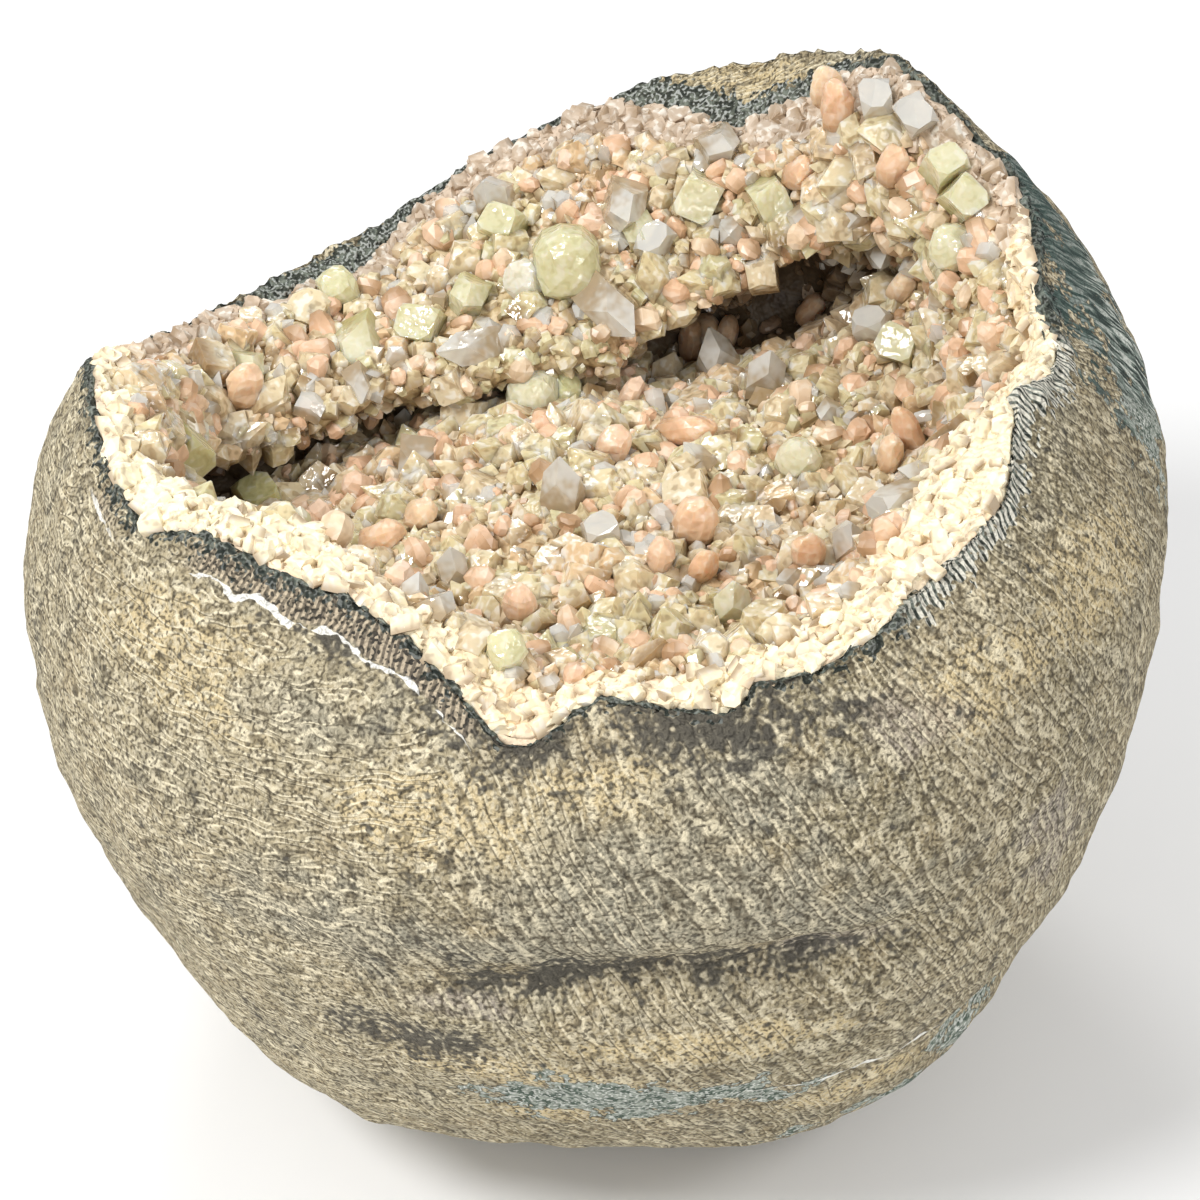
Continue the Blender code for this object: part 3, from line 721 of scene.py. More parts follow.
# Face of the crust at a place from 0, the broken edge, to 6, the middle of the floor: a
# Catmull-Rom curve through the section's points, which themselves change smoothly with azimuth
def crustFace(azimuth, place):
    stations = [section[0] for section in crustSections]
    edgeRadius, edgeHeight = lipEdge(azimuth)
    knots = [(edgeRadius + 0.6, edgeHeight + 0.2)]
    for index in range(1, 6):
        places = np.array([section[index] for section in crustSections])
        knots.append(tuple(roundCurve(stations, places[:, k], azimuth) for k in (0, 1)))
    knots.append((np.zeros_like(azimuth), np.full_like(azimuth, floorMiddle)))
    knots = np.array(knots)
    knots = np.concatenate([2 * knots[:1] - knots[1:2], knots, 2 * knots[-1:] - knots[-2:-1]])
    first = np.clip(np.floor(place).astype(int), 0, 5)
    t = (place - first)[:, None]
    columns = np.arange(len(azimuth))
    before, start, end, after = (knots[first + step, :, columns] for step in range(4))
    curve = 0.5 * (2 * start + (end - before) * t + (2 * before - 5 * start + 4 * end - after) * t * t
                   + (3 * start - before - 3 * end + after) * t ** 3)
    return curve[:, 0], curve[:, 1]


# Ground of the crust: the face's grid pushed out in rounded lumps, 1 less the cell distance,
# and pushed in at the caverns. Its edge laps over the rock's lip in scallops, where noise
# lifts it clear, and its hidden back follows the rock's bowl
def makeGround():
    columns = ground["columns"]
    azimuth = np.arange(columns) * 360.0 / columns
    whole = np.ones(columns)
    rings = [bowlPoint(azimuth, whole * (1.0 - row / ground["bowl rows"]), 0.6)
             for row in range(1, ground["bowl rows"])]
    edgeRadius, edgeHeight = lipEdge(azimuth)
    rimRadius, rimHeight = outside(azimuth, rimRise(azimuth))
    slope = (rimHeight - edgeHeight) / np.maximum(rimRadius - edgeRadius, 1.0)
    lapWidth = np.minimum(ground["lap"], 0.8 * (rimRadius - edgeRadius))
    lapShares = np.linspace(1.0, 0.0, ground["lap rows"], endpoint=False)
    for share in lapShares:
        height = edgeHeight + slope * lapWidth * share - 1.2 * share
        rings.append((edgeRadius + lapWidth * share, height))
    hidden = len(rings)
    places = np.linspace(0.0, 6.0, ground["face rows"], endpoint=False)
    rings += [crustFace(azimuth, whole * place) for place in places]
    radii = np.maximum(np.array([ring[0] for ring in rings]), 0.3)
    heights = np.array([ring[1] for ring in rings])
    smooth = toPoints(np.broadcast_to(azimuth, radii.shape), radii, heights)
    normals = gridNormals(smooth)
    place = np.concatenate([np.zeros(hidden), places])[:, None]
    width = cornered(bandTable, 1, azimuth)
    druse = np.clip((place - width) / ground["druse edge"], 0.0, 1.0)
    push = np.zeros_like(radii)
    for number, (cell, amount) in enumerate(ground["lumps"]):
        lumps = ground["lump level"] - cellNoise(smooth, cell, 51 + 5 * number)
        push += druse * amount * lumps * ground["lump gain"]
    for number, (cell, amount) in enumerate(ground["band lumps"]):
        lumps = ground["band level"] - cellNoise(smooth, cell, 71 + 5 * number)
        push += (1 - druse) * amount * lumps * ground["lump gain"]
    push += (1 - druse) * ground["band rise"]
    for across, down, reach, depth in ground["caverns"]:
        origin, ray = cameraRay(across, down)
        offset = smooth - origin
        along = offset @ ray
        apart = np.linalg.norm(offset - along[..., None] * ray, axis=-1)
        push -= depth * np.exp(-(apart / reach) ** 2) * druse
    lapShare = np.zeros((len(rings), 1))
    lapShare[hidden - ground["lap rows"]:hidden, 0] = lapShares
    lapped = lapShare > 0
    scallop = cloudNoise(smooth, 6.5, 91) + 0.7 * cloudNoise(smooth, 2.6, 92)
    lift = ground["lap rise"] * (1.0 - lapShare) + ground["scallop"] * scallop * (0.3 + lapShare)
    push = np.where(lapped, 0.0, push)
    push[:hidden - ground["lap rows"]] = 0
    points = smooth + normals * push[..., None]
    points[..., 2] = np.minimum(points[..., 2] + np.where(lapped, lift, 0.0), highest)
    # low: painted shade, darkening the ground in its pits, the caverns and the hollow under the ledge
    low = np.maximum(np.clip(-push / 6.0, 0.0, 1.0) * druse, recess(azimuth, place))
    base = bodyAxis + np.array([0, 0, bowl["floor"] + 0.6])
    pole = np.array([*bodyAxis[:2], points[-1, :, 2].mean()])
    piece = ringSurface("crust_ground", base, points, pole)
    storeNumber(piece, "band", padEnds(1 - druse))
    storeNumber(piece, "low", padEnds(low))
    turn = np.broadcast_to(np.mod(azimuth - 180.0, 360.0), radii.shape)
    storeNumber(piece, "azimuth", padEnds(turn))
    front = np.clip((turn - 2.0) / 18.0, 0.0, 1.0) * np.clip((212.0 - turn) / 22.0, 0.0, 1.0)
    storeNumber(piece, "front", padEnds(front))
    return piece, points[hidden:], normals[hidden:], druse[hidden:], recess(azimuth, place)[hidden:]


# The hollow under the ledge, painted dark as shade on the ground and its crystals: 1 at its back, only
# at the azimuths where a ledge overhangs
def recess(azimuth, place):
    fadeIn = np.clip((azimuth - hollow["from"]) / hollow["fade in"], 0, 1)
    fadeOut = np.clip((hollow["to"] - azimuth) / hollow["fade out"], 0, 1)
    depth = np.exp(-(np.abs(place - hollow["place"]) / hollow["half width"]) ** 4)
    return fadeIn * fadeOut * depth


def groundMaterial():
    s = Shader("druse ground")
    position = s.position()
    broad = s.noise(position, 30.0, 1.0)
    fine = s.noise(position, 240.0, 2.0)
    grain = s.noise(position, 800.0, 0.0)
    colour = s.mix(s.steps(broad, 0.35, 0.62), (0.52, 0.40, 0.20), (0.58, 0.40, 0.22))
    colour = s.mix(s.times(s.steps(fine, 0.5, 0.38), 0.7), colour, (0.82, 0.68, 0.44))
    colour = s.mix(s.times(s.steps(fine, 0.52, 0.64), 0.75), colour, (0.24, 0.15, 0.07))
    # painted shade: near black in the pits, the caverns and the hollow under the ledge
    colour = s.mix(s.times(s.number("low"), 0.92), colour, (0.05, 0.03, 0.017))
    front = s.steps(s.plus(s.number("front"), s.math("SUBTRACT", broad, 0.5)), 0.2, 0.8)
    cream = s.mix(s.steps(broad, 0.4, 0.6), (0.95, 0.86, 0.63), (0.93, 0.74, 0.53))
    around = s.plus(s.math("DIVIDE", s.number("azimuth"), 0.85), s.times(fine, 1.5))
    fibres = s.times(s.math("PINGPONG", around, 0.5), 2.0)
    turn = s.number("azimuth")
    fibreSide = s.times(s.times(s.steps(turn, 124.0, 134.0), s.steps(turn, 190.0, 180.0)), front)
    fibrous = s.times(s.times(s.steps(fibres, 0.5, 0.2), fibreSide), 0.55)
    cream = s.mix(fibrous, cream, (0.78, 0.62, 0.38))
    fused = s.mix(s.steps(fine, 0.4, 0.6), (0.68, 0.54, 0.41), (0.50, 0.39, 0.28))
    cream = s.mix(front, fused, cream)
    specks = s.times(s.steps(grain, 0.62, 0.70), s.blend(front, 0.75, 0.25))
    cream = s.mix(specks, cream, (0.16, 0.10, 0.05))
    band = s.plus(s.number("band"), s.swing(fine, 0.8))
    colour = s.mix(s.steps(band, 0.35, 0.65), colour, cream)
    height = s.plus(s.times(grain, 0.35), fine)
    s.set(Base_Color=colour, Roughness=0.5, Normal=s.bump(height, 0.0011, 0.8))
    return s.material


print("crust ground")
groundPiece, facePoints, faceNormals, faceDruse, faceRecess = makeGround()
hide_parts("crystal_crust")
finishPiece(groundPiece, groundMaterial(), True)


# Where a pixel's ray lands on the crust's ground
mesh = groundPiece.data
groundTree = BVHTree.FromPolygons(
    [vertex.co for vertex in mesh.vertices], [tuple(polygon.vertices) for polygon in mesh.polygons]
)


def underPixel(across, down):
    origin, ray = cameraRay(across, down)
    spot, normal, index, distance = groundTree.ray_cast(Vector(origin * mm), Vector(ray))
    if spot is None:
        return None
    return np.array(spot) / mm, np.array(normal)


# Random places on the druse or the cream band, as likely as the area there, with the smooth
# face's normal
def spread(count, generator, onBand=False):
    across = np.linalg.norm(np.roll(facePoints, -1, axis=1) - facePoints, axis=-1)
    along = np.linalg.norm(np.gradient(facePoints, axis=0), axis=-1)
    allowed = (faceDruse < 0.7) if onBand else (faceDruse > 0.4) * (1.0 - 0.75 * faceRecess)
    weight = across * along * allowed
    picks = generator.choice(weight.size, size=count, p=(weight / weight.sum()).ravel())
    jitter = generator.uniform(-0.5, 0.5, (count, 3))
    spots = facePoints.reshape(-1, 3)[picks] + jitter
    return spots, faceNormals.reshape(-1, 3)[picks], faceRecess.ravel()[picks]


# Apophyllite with cut corners: a square prism whose corners are cut by sloping faces
def blockShape(cut, drop):
    a = 0.5
    corners = [(a, a), (-a, a), (-a, -a), (a, -a)]
    vertices = [(x, y, -0.5) for x, y in corners]
    vertices += [(x, y, 0.5 - drop) for x, y in corners]
    for x, y in corners:
        cutAcross = (x - math.copysign(cut, x), y, 0.5)
        cutAlong = (x, y - math.copysign(cut, y), 0.5)
        vertices += [cutAcross, cutAlong] if x * y < 0 else [cutAlong, cutAcross]
    faces = [(3, 2, 1, 0), tuple(range(8, 16))]
    for k in range(4):
        n = (k + 1) % 4
        faces.append((k, n, 4 + n, 8 + 2 * n, 9 + 2 * k, 4 + k))
        faces.append((4 + k, 9 + 2 * k, 8 + 2 * k))
    return np.array(vertices), faces


# Apophyllite point: kite faces z = foot + slope (2a - |x| - |y|), cut flat just under the tip
def pointShape(foot, slope, flat):
    a = 0.5
    corners = [(a, a), (-a, a), (-a, -a), (a, -a)]
    middles = [(0, a), (-a, 0), (0, -a), (a, 0)]
    vertices = [(x, y, -0.5) for x, y in corners]
    vertices += [(x, y, foot) for x, y in corners]
    vertices += [(x, y, foot + slope * a) for x, y in middles]
    share = flat / a
    vertices += [(x * share, y * share, foot + slope * (2 * a - flat)) for x, y in middles]
    faces = [(3, 2, 1, 0), (12, 13, 14, 15)]
    for k in range(4):
        n = (k + 1) % 4
        faces.append((k, n, 4 + n, 8 + k, 4 + k))
        faces.append((4 + k, 8 + k, 12 + k, 12 + (k - 1) % 4, 8 + (k - 1) % 4))
    return np.array(vertices), faces


# Stilbite barrel, a superellipsoid: z = -|cos a|^blunt / 2 with cos a's sign, and round it
# the ring (|cos b|^square, |sin b|^square) times sin a^blunt, pinched like a tied sheaf at a = 90
def sheafShape(rings, sides, blunt, square, pinch=0.0):
    a = np.linspace(0.0, math.pi, rings + 1)[1:-1, None]
    b = (np.arange(sides) * 2 * math.pi / sides)[None]

    def signed(value, power):
        return np.sign(value) * np.abs(value) ** power

    reach = 0.5 * np.sin(a) ** blunt * (1 - pinch * np.exp(-(np.cos(a) / 0.3) ** 2))
    ring = np.stack([reach * signed(np.cos(b), square), reach * signed(np.sin(b), square),
                     -0.5 * signed(np.cos(a), blunt) + 0 * b], -1)
    vertices = np.concatenate([[(0, 0, -0.5)], ring.reshape(-1, 3), [(0, 0, 0.5)]])
    faces = []
    last = len(vertices) - 1
    for side in range(sides):
        n = (side + 1) % sides
        faces.append((0, 1 + n, 1 + side))
        faces.append((last, last - sides + side, last - sides + n))
        for row in range(rings - 2):
            base = 1 + row * sides
            faces.append((base + side, base + n, base + sides + n, base + sides + side))
    return vertices, faces


# Turns that carry +Z to each axis, after a spin about it
def turnsTo(axes, spins):
    axes = axes / np.linalg.norm(axes, axis=-1, keepdims=True)
    helper = np.where(np.abs(axes[:, 2:]) > 0.9, np.array([[1.0, 0, 0]]), np.array([[0, 0, 1.0]]))
    side = np.cross(helper, axes)
    side /= np.linalg.norm(side, axis=-1, keepdims=True)
    other = np.cross(axes, side)
    cosine, sine = np.cos(spins)[:, None], np.sin(spins)[:, None]
    return np.stack([side * cosine + other * sine, other * cosine - side * sine, axes], -1)


# Many copies of one shape as a single mesh: each is sized, leaned, spun and set in its place.
# tint is one number a crystal, tip runs from 0 at its foot to 1 at its top. Value noise moves
# the corners by up to the wobble, so that no two crystals are alike.
def crystalMesh(name, wobble, groups):
    allVertices, allFaces, allTints, allTips, allRecessShades = [], [], [], [], []
    count = 0
    for shape, places, axes, spins, sizes, tints, recessShades in groups:
        vertices, faces = shape
        if len(places) == 0:
            continue
        rotated = np.einsum("nij,nvj->nvi", turnsTo(axes, spins), vertices[None] * sizes[:, None, :])
        world = (rotated + places[:, None, :]).reshape(-1, 3)
        starts = count + np.arange(len(places)) * len(vertices)
        for face in faces:
            allFaces += (starts[:, None] + np.array(face)[None]).tolist()
        height = (vertices[:, 2] - vertices[:, 2].min()) / np.ptp(vertices[:, 2])
        allVertices.append(world)
        allTints.append(np.repeat(tints, len(vertices)))
        allRecessShades.append(np.repeat(recessShades, len(vertices)))
        allTips.append(np.tile(height, len(places)))
        count += len(world)
    corners = np.concatenate(allVertices)
    shaken = np.stack([cloudNoise(corners, 3.6, seed) for seed in (501, 502, 503)], -1)
    corners = corners + wobble * shaken
    corners[:, 2] = np.minimum(corners[:, 2], highest)
    mesh = bpy.data.meshes.new(name)
    mesh.from_pydata(corners * mm, [], allFaces)
    piece = bpy.data.objects.new(name, mesh)
    bpy.context.scene.collection.objects.link(piece)
    storeNumber(piece, "tint", np.concatenate(allTints))
    storeNumber(piece, "tip", np.concatenate(allTips))
    # recess shade: how deep in the hollow under the ledge each crystal stands, painted as shade in its
    # material
    storeNumber(piece, "recessShade", np.concatenate(allRecessShades))
    return piece


# Crystals that stand out. Each has the photograph's pixel that it grows at, its length and
# width, and how far its tip points right and up in the picture
heroes = {
    "green blocks": [
        (700, 200, 16, 14, 0.0, -0.3), (768, 198, 14, 12, 0.2, -0.2), (905, 350, 13, 12, -0.1, 0.0),
        (945, 172, 13, 11, 0.1, 0.2), (964, 200, 12, 11, 0.2, -0.1), (262, 508, 13, 13, 0.0, 0.5),
        (176, 446, 15, 13, 0.2, -0.4), (425, 332, 14, 13, 0.0, 0.0), (505, 228, 13, 12, -0.2, 0.2),
    ],
    "green points": [
        (362, 345, 20, 14, 0.0, -0.7), (470, 300, 14, 12, -0.1, -0.3),
        (735, 610, 12, 11, 0.1, 0.3), (245, 375, 14, 11, 0.1, -0.4), (640, 232, 13, 11, 0.1, -0.2),
    ],
    "domes": [
        (572, 262, 27, 25, 0.2, -0.3), (540, 408, 19, 19, 0.0, 0.3), (798, 468, 17, 15, 0.0, 0.2),
        (505, 655, 13, 12, 0.0, 0.2), (530, 285, 15, 15, -0.2, -0.2), (345, 300, 17, 15, 0.0, 0.0),
        (960, 245, 16, 16, 0.0, 0.1), (560, 400, 13, 13, 0.4, 0.1),
    ],
    "clear points": [
        (600, 303, 19, 15, 0.45, -0.8), (490, 350, 20, 12, -0.9, -0.35), (418, 462, 18, 13, 0.1, -0.9),
        (565, 505, 15, 12, 0.0, 0.7), (722, 378, 16, 12, -0.2, 0.7),
        (765, 388, 13, 12, 0.2, 0.5), (358, 380, 11, 8, 0.1, -1.0),
        (625, 205, 18, 14, 0.1, -0.5), (500, 205, 13, 12, -0.3, 0.2), (880, 245, 10, 8, 0.0, -0.5),
        (455, 578, 11, 10, 0.1, 0.4), (850, 550, 11, 11, 0.2, 0.4), (720, 148, 15, 12, 0.4, -0.3),
    ],
    "clear blocks": [
        (915, 500, 16, 10, -0.5, -0.5), (880, 108, 13, 12, 0.0, 0.2), (920, 118, 12, 12, 0.1, 0.1),
        (660, 250, 12, 11, 0.0, 0.2), (880, 335, 11, 11, -0.1, 0.2), (600, 540, 10, 10, 0.0, 0.3),
    ],
    "peach": [
        (662, 438, 23, 13, 1.0, -0.12), (897, 183, 15, 11, 0.3, 0.9), (790, 178, 13, 11, 0.9, 0.2),
        (938, 292, 15, 10, 0.4, 0.8), (897, 302, 12, 9, 0.5, 0.5), (702, 318, 13, 10, 0.1, -0.9),
        (732, 322, 13, 9, -0.1, -0.9), (808, 320, 13, 11, 0.7, 0.4), (690, 355, 15, 11, 0.2, 0.8),
        (815, 380, 17, 11, 0.8, -0.4), (693, 545, 17, 14, 0.3, 0.8), (920, 452, 19, 9, -0.3, 0.9),
        (660, 575, 13, 11, 0.2, 0.7), (805, 568, 13, 11, 0.2, 0.7), (842, 562, 12, 10, 0.9, 0.1),
        (240, 405, 16, 12, 0.1, 0.9), (700, 580, 12, 9, 0.3, 0.8), (520, 620, 13, 11, 0.2, 0.6),
        (410, 525, 13, 11, 0.7, 0.3), (840, 135, 20, 12, 0.05, 1.0), (835, 110, 16, 12, 0.0, 0.9),
        (610, 460, 13, 11, 0.4, 0.6), (885, 470, 13, 9, 0.4, 0.7), (370, 548, 16, 13, 0.9, 0.1),
    ],
}
toCamera = -cameraRay(600, 600)[1]
toRight = np.array([1.0, 0.0, 0.0])
toUp = np.cross(toCamera, toRight)


# Copies of one shape at their pixels, lifted along their own length by a share of it
def heroGroup(kind, shape, thick, lift):
    rows = []
    for across, down, length, width, tipRight, tipUp in heroes[kind]:
        found = underPixel(across, down)
        if found is None:
            print("  no ground under", across, down)
            continue
        spot, normal = found
        axis = 0.3 * normal + 0.45 * toCamera + tipRight * toRight + tipUp * toUp
        size = np.array([width, width * thick, length])
        place = spot + 0.15 * width * normal + axis / np.linalg.norm(axis) * length * lift
        rows.append((place, axis, generator.uniform(0, 6.28), size, generator.uniform(), 0.0))
    return (shape, *(np.array(column) for column in zip(*rows)))


print("named crystals")
generator = np.random.default_rng(2024)
greenGroups = [
    heroGroup("green blocks", blockShape(0.22, 0.30), 0.9, 0.15),
    heroGroup("green points", pointShape(-0.2, 0.95, 0.09), 0.9, 0.15),
    heroGroup("domes", sheafShape(9, 11, 0.75, 0.85), 0.9, 0.1),
]
clearGroups = [
    heroGroup("clear points", pointShape(-0.1, 0.95, 0.05), 0.85, 0.3),
    heroGroup("clear blocks", blockShape(0.3, 0.38), 0.85, 0.25),
]
peachGroups = [heroGroup("peach", sheafShape(10, 12, 0.9, 0.85, 0.04), 0.75, 0.35)]
namedPlaces = np.concatenate([group[1] for group in greenGroups + clearGroups + peachGroups])
namedSizes = np.concatenate([group[4] for group in greenGroups + clearGroups + peachGroups])


# Small druse: how many, and their size from and to
druse = {
    "blocks": (1500, (4.5, 12.0)),
    "barrels": (800, (5.5, 11.5)),
    "fill": (5600, (2.4, 6.0)),
    "beads": (1000, (3.0, 6.0)),
    "glass": (900, (2.2, 7.5)),
    "knobs": (3400, (1.6, 6.5)),
}

# Random crystals of one kind: stand is how much each keeps to the ground's normal, lean how
# much it strays, stretch its lengths along X, Y and Z, rise its lift off the ground
def scattered(kind, stand, lean, stretch, rise):
    count, sizeRange = druse[kind]
    # The third part is how deep in the hollow under the ledge each place lies; it shrinks the crystals
    # there and darkens them as painted shade
    places, normals, recessShade = spread(count, generator, kind == "knobs")
    axes = stand * normals + generator.normal(0, lean, (count, 3))
    spins = generator.uniform(0, 2 * math.pi, count)
    size = sizeRange[0] + (sizeRange[1] - sizeRange[0]) * generator.uniform(0, 1, count) ** 1.7
    size = size * (1.0 - 0.35 * recessShade)
    low, high = np.array(stretch).T
    sizes = size[:, None] * generator.uniform(low, high, (count, 3))
    regional = cloudNoise(places, 34.0, 401) + 0.5 * cloudNoise(places, 15.0, 402)
    tints = np.clip(0.5 + 0.45 * regional + generator.normal(0, 0.22, count), 0, 1)
    places = places + normals * (size * rise)[:, None]
    apart = np.linalg.norm(places[:, None] - namedPlaces[None], axis=-1)
    room = 0.42 * namedSizes[None].mean(axis=-1) + 0.35 * size[:, None]
    keep = (apart > room).all(axis=1)
    return tuple(part[keep] for part in (places, axes, spins, sizes, tints, recessShade))


def splitShapes(shapes, data):
    which = generator.integers(0, len(shapes), len(data[0]))
    return [(shape, *(part[which == k] for part in data)) for k, shape in enumerate(shapes)]


blockShapes = [blockShape(0.14, 0.2), blockShape(0.24, 0.32), blockShape(0.34, 0.42)]
pointShapes = [pointShape(0.0, 0.62, 0.10), pointShape(-0.15, 0.95, 0.05), pointShape(-0.3, 1.25, 0.03),
               pointShape(0.1, 0.45, 0.2)]
smallSheaf = sheafShape(5, 6, 0.8, 0.9)
chunky = [(0.75, 1.25)] * 3
barrelled = [(0.8, 1.0), (0.6, 0.85), (0.9, 1.35)]
apophylliteIor = 1.535


# Colours run through the list with each crystal's tint, and the last is its root colour, which is also
# painted over each crystal's foot as shade between the crystals. Clouds is how much white and root
# colour drifts through it
def milky(name, colours, roughness, subsurface, clearness=0.0, clouds=0.6):
    root = colours[-1]
    s = Shader(name)
    position = s.position()
    tint = s.number("tint")
    tip = s.number("tip")
    colour = s.mix(s.steps(tint, 0.0, 0.33), colours[0], colours[1])
    colour = s.mix(s.steps(tint, 0.33, 0.66), colour, colours[2])
    colour = s.mix(s.steps(tint, 0.66, 1.0), colour, colours[3])
    cloudy = s.noise(position, 290.0, 1.0, 0.7)
    colour = s.mix(s.times(s.steps(cloudy, 0.52, 0.66), clouds), colour, (0.93, 0.90, 0.82))
    colour = s.mix(s.times(s.steps(cloudy, 0.46, 0.32), 0.8 * clouds), colour, root)
    # painted shade: each crystal darkens to its root colour towards its foot, where it meets the crust
    # and its neighbours
    foot = s.math("SUBTRACT", 1.0, s.steps(tip, 0.0, 0.75))
    colour = s.mix(s.times(foot, 0.82), colour, root)
    # painted shade: crystals deep in the hollow under the ledge darkened to brown-black
    colour = s.mix(s.times(s.number("recessShade"), 0.85), colour, (0.13, 0.08, 0.045))
    s.set(Base_Color=colour, Roughness=roughness)
    s.surface.inputs["IOR"].default_value = apophylliteIor
    s.surface.inputs["Transmission Weight"].default_value = clearness
    s.surface.inputs["Subsurface Weight"].default_value = subsurface
    s.surface.inputs["Subsurface Radius"].default_value = (1.0, 0.8, 0.55)
    s.surface.inputs["Subsurface Scale"].default_value = 0.006
    if subsurface > 0.0:
        s.put(s.bump(cloudy, 0.0012, 0.6), s.surface.inputs["Normal"])
    return s.material


paleColours = [
    (0.62, 0.57, 0.34), (0.70, 0.60, 0.37), (0.72, 0.60, 0.41),
    (0.73, 0.53, 0.32), (0.25, 0.15, 0.06),
]
peachColours = [
    (0.78, 0.61, 0.42), (0.78, 0.54, 0.36), (0.77, 0.50, 0.32),
    (0.79, 0.57, 0.41), (0.35, 0.20, 0.09),
]
creamColours = [
    (0.93, 0.84, 0.60), (0.92, 0.77, 0.53), (0.70, 0.56, 0.42),
    (0.50, 0.40, 0.30), (0.36, 0.25, 0.15),
]
greenColours = [
    (0.72, 0.69, 0.42), (0.79, 0.75, 0.54), (0.68, 0.65, 0.33),
    (0.83, 0.78, 0.65), (0.42, 0.38, 0.13),
]


print("small crystals")
blockData = scattered("blocks", 1.0, 0.5, chunky, 0.12)
blockGroups = splitShapes(blockShapes + pointShapes + pointShapes, blockData)
blocks = crystalMesh("druse_blocks", 0.5, blockGroups)
finishPiece(blocks, milky("milky apophyllite", paleColours, 0.08, 0.4), False)
barrelShapes = [sheafShape(6, 7, 0.7, 0.8), sheafShape(5, 8, 0.95, 0.9)]
barrelData = scattered("barrels", 0.5, 0.7, barrelled, 0.25)
barrels = crystalMesh("stilbite_barrels", 1.0, splitShapes(barrelShapes, barrelData))
finishPiece(barrels, milky("peach stilbite", peachColours, 0.3, 0.0, 0.0, 0.25), False)
fillData = scattered("fill", 1.0, 0.55, chunky, 0.2)
fill = crystalMesh("druse_points", 0.5, splitShapes(pointShapes, fillData))
finishPiece(fill, milky("pale points", paleColours, 0.14, 0.0), False)
beadData = scattered("beads", 0.5, 0.8, barrelled, 0.2)
beads = crystalMesh("stilbite_beads", 0.7, [(smallSheaf, *beadData)])
finishPiece(beads, milky("peach beads", peachColours, 0.35, 0.0), False)
knobData = scattered("knobs", 1.0, 0.6, [(0.9, 1.4), (0.7, 1.1), (0.6, 1.0)], -0.12)
behind = np.clip((knobData[0][:, 1] - bodyAxis[1] - 10.0) / 60.0, 0, 1)
knobData[4][:] = np.clip(0.12 + 0.75 * behind + 0.3 * (knobData[4] - 0.5), 0, 1)
# The right of the band is smooth and fibrous, and keeps a third of its knobs. Degrees round
# from the left side towards the front
smoothFrom, smoothTo, knobShare = 130.0, 186.0, 0.33
inward = bodyAxis[:2] - knobData[0][:, :2]
knobTurn = np.degrees(np.arctan2(inward[:, 1], inward[:, 0])) % 360.0
smoothSide = (knobTurn > smoothFrom) & (knobTurn < smoothTo)
staying = ~smoothSide | (generator.uniform(0, 1, len(knobTurn)) < knobShare)
knobData = tuple(part[staying] for part in knobData)
knobShapes = [sheafShape(4, 6, 0.9, 1.0), blockShape(0.24, 0.32), pointShape(0.1, 0.45, 0.2)]
knobs = crystalMesh("cream_knobs", 1.0, splitShapes(knobShapes, knobData))
finishPiece(knobs, milky("cream crust", creamColours, 0.5, 0.0), False)


clear = {
    "foot": (0.66, 0.52, 0.34),
    "tip": (1.0, 0.985, 0.92),
    "transmission": 0.5,
    "absorption colour": (0.82, 0.90, 0.68, 1.0),
    "absorption density": 2.5,
}


# See-through crystals: brown at the foot, where they grow into the crust, and clear at the tip
def clearCrystal(name):
    s = Shader(name)
    veils = s.noise(s.position(), 260.0, 1.0, 0.7)
    height = s.plus(s.number("tip"), s.math("SUBTRACT", veils, 0.5))
    colour = s.mix(s.steps(height, 0.15, 0.85), clear["foot"], clear["tip"])
    s.set(Base_Color=colour, Roughness=0.03)
    s.surface.inputs["IOR"].default_value = apophylliteIor
    s.surface.inputs["Transmission Weight"].default_value = clear["transmission"]
    s.put(s.bump(veils, 0.0005, 0.5), s.surface.inputs["Normal"])
    absorb = s.add("ShaderNodeVolumeAbsorption")
    absorb.inputs["Color"].default_value = clear["absorption colour"]
    absorb.inputs["Density"].default_value = clear["absorption density"]
    s.tree.links.new(absorb.outputs[0], s.output.inputs["Volume"])
    return s.material


glassData = scattered("glass", 1.0, 0.5, chunky, 0.3)
glass = crystalMesh("clear_points", 0.4, splitShapes(pointShapes, glassData))
finishPiece(glass, clearCrystal("clear apophyllite"), False)

greens = crystalMesh("green_apophyllite", 1.0, greenGroups)
finishPiece(greens, milky("green apophyllite", greenColours, 0.06, 0.6, 0.15, 0.35), False)
clearHeroes = crystalMesh("clear_apophyllite", 0.7, clearGroups)
finishPiece(clearHeroes, clearCrystal("clear apophyllite blocks"), False)
peaches = crystalMesh("peach_stilbite", 1.0, peachGroups)
sheafLook = milky("peach stilbite sheaves", peachColours, 0.28, 0.7, 0.0, 0.25)
finishPiece(peaches, sheafLook, False)


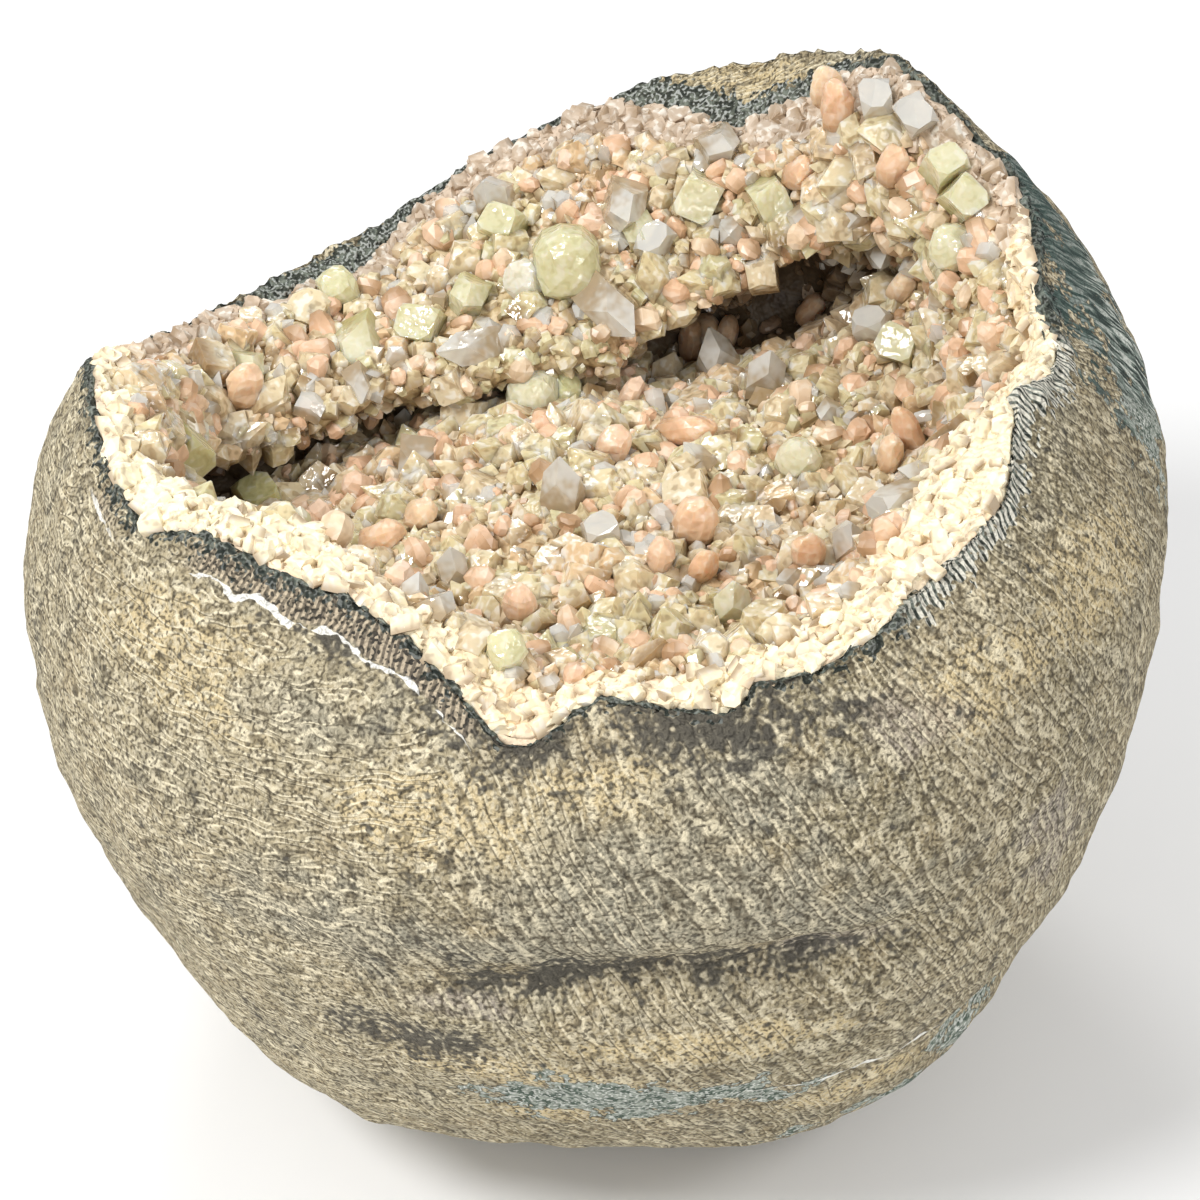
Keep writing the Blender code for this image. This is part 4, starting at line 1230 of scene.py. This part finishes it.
# Floor, lights and camera
print("stage")
floorMesh = bpy.data.meshes.new("floor")
reach = 6.0
floorCorners = [(-reach, -reach, 0), (reach, -reach, 0), (reach, reach, 0), (-reach, reach, 0)]
floorMesh.from_pydata(floorCorners, [], [(0, 1, 2, 3)])
floor = bpy.data.objects.new("floor", floorMesh)
bpy.context.scene.collection.objects.link(floor)
paper = Shader("paper")
paper.set(Base_Color=(0.92, 0.92, 0.92, 1.0), Roughness=0.9)
floorMesh.materials.append(paper.material)

world = bpy.data.worlds.new("studio")
world.use_nodes = True
sky = world.node_tree.nodes["Background"]
sky.inputs["Color"].default_value = (1.0, 1.0, 1.0, 1.0)
sky.inputs["Strength"].default_value = 0.54
bpy.context.scene.world = world
bpy.context.scene.view_settings.view_transform = "Standard"


def softLight(name, place, aim, size, power):
    lamp = bpy.data.lights.new(name, "AREA")
    lamp.shape = "DISK"
    lamp.size = size
    lamp.energy = power
    holder = bpy.data.objects.new(name, lamp)
    holder.location = place
    holder.rotation_mode = "QUATERNION"
    holder.rotation_quaternion = (Vector(aim) - Vector(place)).to_track_quat("-Z", "Y")
    bpy.context.scene.collection.objects.link(holder)


# Each light's place and aim in metres, width and power
lights = {
    "key light": ((-1.0, -0.7, 1.6), (0, 0, 0.2), 0.60, 25.0),
    "fill light": ((1.3, -0.5, 1.4), (0, 0, 0.2), 0.60, 7.0),
    "back light": ((-0.3, 1.3, 1.5), (0, 0, 0.2), 0.60, 8.0),
    "front light": ((0.4, -1.6, 0.9), (0, 0, 0.15), 0.60, 5.0),
}
for lightName, values in lights.items():
    softLight(lightName, *values)

lens = bpy.data.cameras.new("camera")
lens.sensor_width = view["sensor"]
lens.lens = view["lens in pixels"] / view["pixels wide"] * view["sensor"]
lens.clip_start = 0.05
lens.clip_end = 20.0
camera = bpy.data.objects.new("camera", lens)
centre, ray = cameraRay(view["pixels wide"] / 2, view["pixels wide"] / 2)
camera.location = Vector(centre * mm)
camera.rotation_mode = "QUATERNION"
camera.rotation_quaternion = Vector(ray).to_track_quat("-Z", "Y")
bpy.context.scene.collection.objects.link(camera)
bpy.context.scene.camera = camera
